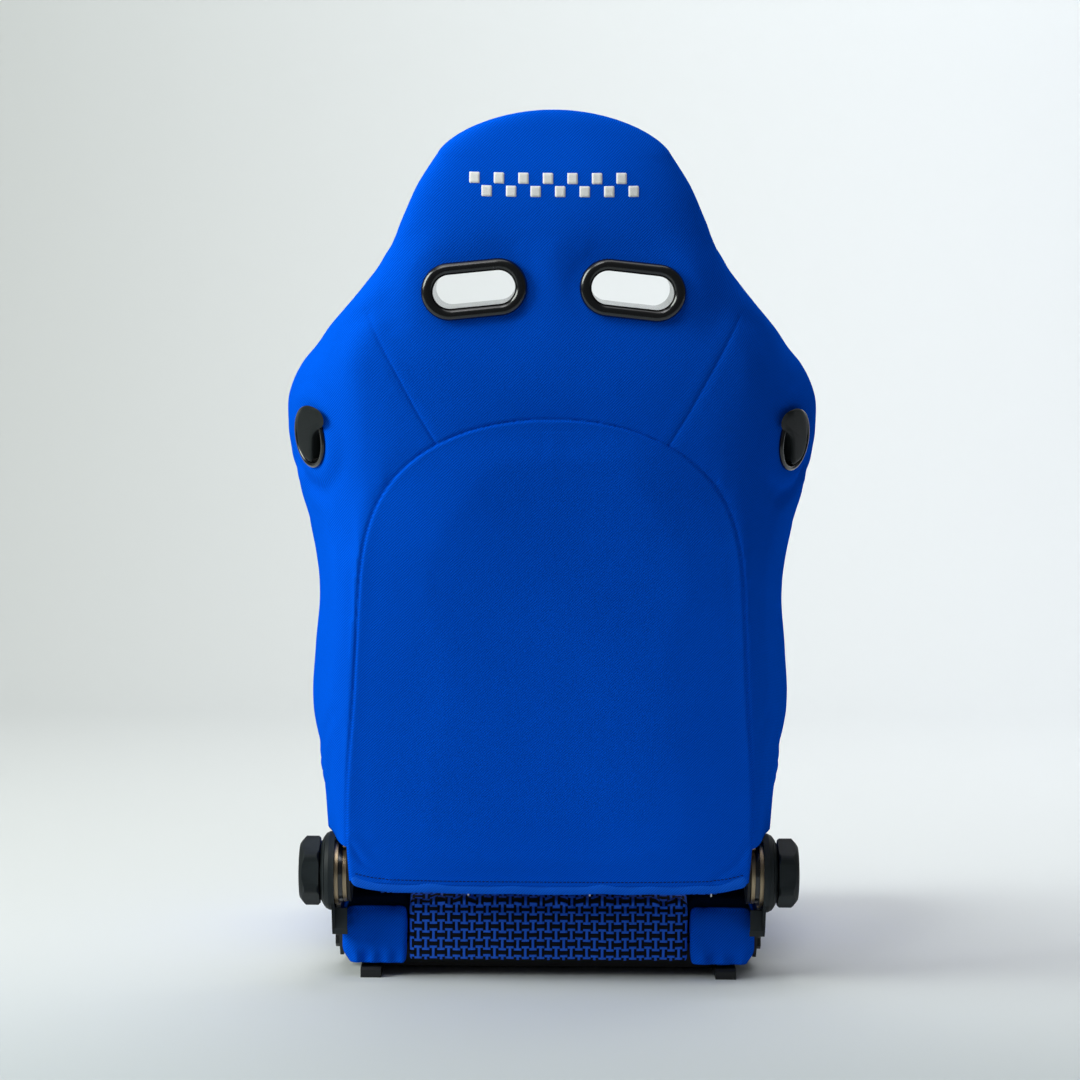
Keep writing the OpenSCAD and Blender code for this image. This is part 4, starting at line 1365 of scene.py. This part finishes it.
def build_lever(side):
    n = 140
    face = closed_curve([(-up, y) for up, y in FACE], n)
    reach = np.linalg.norm(face, axis=1, keepdims=True)
    stem = inset_loop(face * np.minimum(1, STEM_R / reach), 0.6)
    layers = []
    for loop, steps in ((stem, STEM_LAYERS), (face, FACE_LAYERS)):
        for inset, z in steps:
            ring = inset_loop(loop, inset) if inset else loop
            layers.append(np.hstack([ring, np.full((n, 1), z)]))
    p = np.array(layers)
    upper = p[..., 2] > 5
    p[..., 2] -= upper * (0.16 * (p[..., 2] - 5) + 1.0 * smooth(-4, -20, p[..., 1])
                          + 2.4 * smooth(12, 30, p[..., 1]) * np.clip((p[..., 2] - 5) / 3, 0, 1))
    obj = grid_object("shoulder_lever_" + ("left" if side > 0 else "right"),
                      to_row(from_frame(p, *LEVER, side)))
    shade_smooth(obj)
    sharp_edges(obj, 45)
    return obj


def sharp_edges(obj, degrees):
    """Marks edges sharper than an angle, so they shade crisply."""
    with editing(obj) as bm:
        for edge in bm.edges:
            if len(edge.link_faces) == 2:
                edge.smooth = edge.calc_face_angle(0) < math.radians(degrees)


for side, word in ((1, "left"), (-1, "right")):
    lever = dress(build_lever(side), satin_black, "release_lever_" + word)
    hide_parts("release_lever_" + word)


# ---- Materials of the CAD parts that stay ----

repaint(frame_black, "side_rail", "front_crossbar", "rear_crossbar", "seat_pan", "back_hoop",
        "back_lower_tube", "back_bracket", "lumbar_mat", "release_cable", "bracket_spacers", "bracket_bolts")
repaint(satin_black, "side_cover", "recline_dial")
repaint(gloss_black, "harness_bezel", "lever_escutcheon", "recliner_gear_case")
repaint(half_black, "recliner_base_plate")
repaint(zinc, "recliner_arm", "latch_pawl", "mounting_nuts")
repaint(steel, "recliner_bush", "return_spring", "pawl_pins", "drive_shaft", "hem_hooks")


# ---- Studio and camera ----

def build_sweep():
    """Pale floor that curves up into the backdrop behind the seat, with painted light and shade: paler
    towards -X, darker towards +X, and darker on the floor towards the camera.
    """
    near, far, height, radius = 1.25, -4.2, 5.0, 1.6
    profile = [(near, 0.0), (0.9, 0.0), (0.45, 0.0)]
    profile += [(y, 0.0) for y in np.linspace(0.0, far + radius, 12)]
    profile += [(far + radius - radius * math.sin(t), radius - radius * math.cos(t))
                for t in np.linspace(0.08, math.pi / 2, 16)]
    profile += [(far, z) for z in np.linspace(radius + 0.4, height, 8)]
    xs = np.linspace(-5.5, 5.5, 12)
    verts = [(x, y, z) for y, z in profile for x in xs]
    faces = [tuple(f) for f in grid_faces(len(profile), len(xs), False)]
    obj = mesh_object("studio_sweep", verts, faces)
    n = Nodes("studio_paper_painted_shade")
    split = n.tree.nodes.new("ShaderNodeSeparateXYZ")
    n.put(n.coordinates, split.inputs[0])
    # Painted light and shade across the paper: darker towards +X, paler towards -X.
    side = n.ramp(split.outputs["X"], 2.2, -2.2)
    painted_side_light = n.mix(side, (0.60, 0.62, 0.61, 1), (0.80, 0.83, 0.86, 1))
    # Painted shade: the floor darkens towards the camera.
    n.colour(n.mix(n.ramp(split.outputs["Y"], -0.1, 1.1), painted_side_light, (0.50, 0.54, 0.55, 1)))
    n.set(Roughness=0.9, Specular_IOR_Level=0.1)
    obj.data.materials.append(n.material)
    return obj


sweep = build_sweep()


def area_light(name, place, target, size, power, colour=(1, 1, 1)):
    data = bpy.data.lights.new(name, "AREA")
    data.shape = "RECTANGLE"
    data.size, data.size_y = size
    data.energy = power
    data.color = colour
    obj = link(name, data)
    obj.location = place
    obj.rotation_euler = (Vector(target) - Vector(place)).to_track_quat("-Z", "Y").to_euler()


area_light("key_light", (3.6, 1.6, 2.3), (0, 0.3, 0.5), (2.3, 2.4), 185, (0.97, 1.02, 0.95))
area_light("head_light", (0.8, 2.0, 2.7), (0, 0.45, 0.8), (1.0, 1.0), 17)
area_light("top_light", (0.2, 0.5, 3.4), (0, 0.2, 0), (2.6, 2.6), 36)
area_light("rim_light", (-2.2, -1.8, 1.8), (0.1, 0.2, 0.6), (1.2, 1.8), 3)
area_light("backdrop_light", (-0.8, -1.4, 3.6), (-0.8, -4.2, 1.2), (3.5, 1.5), 98)

world = bpy.data.worlds.new("studio_air")
world.use_nodes = True
background = world.node_tree.nodes["Background"]
background.inputs["Color"].default_value = (0.82, 0.86, 0.90, 1)
background.inputs["Strength"].default_value = 0.13
bpy.context.scene.world = world

camera_data = bpy.data.cameras.new("photo_camera")
camera_data.lens = 97.0
camera_data.sensor_width = 36.0
camera_data.dof.use_dof = False
camera = link("photo_camera", camera_data)
camera.location = (0.0117, HINGE[1] + 3.10, 0.60)
behind = Matrix.Rotation(math.pi, 4, "Z")
look_down = Matrix.Rotation(math.radians(90 - 2.356), 4, "X")
level = Matrix.Rotation(0.0061, 4, "Z")
camera.rotation_euler = (behind @ look_down @ level).to_euler()
bpy.context.scene.camera = camera
bpy.context.scene.view_settings.view_transform = "Standard"
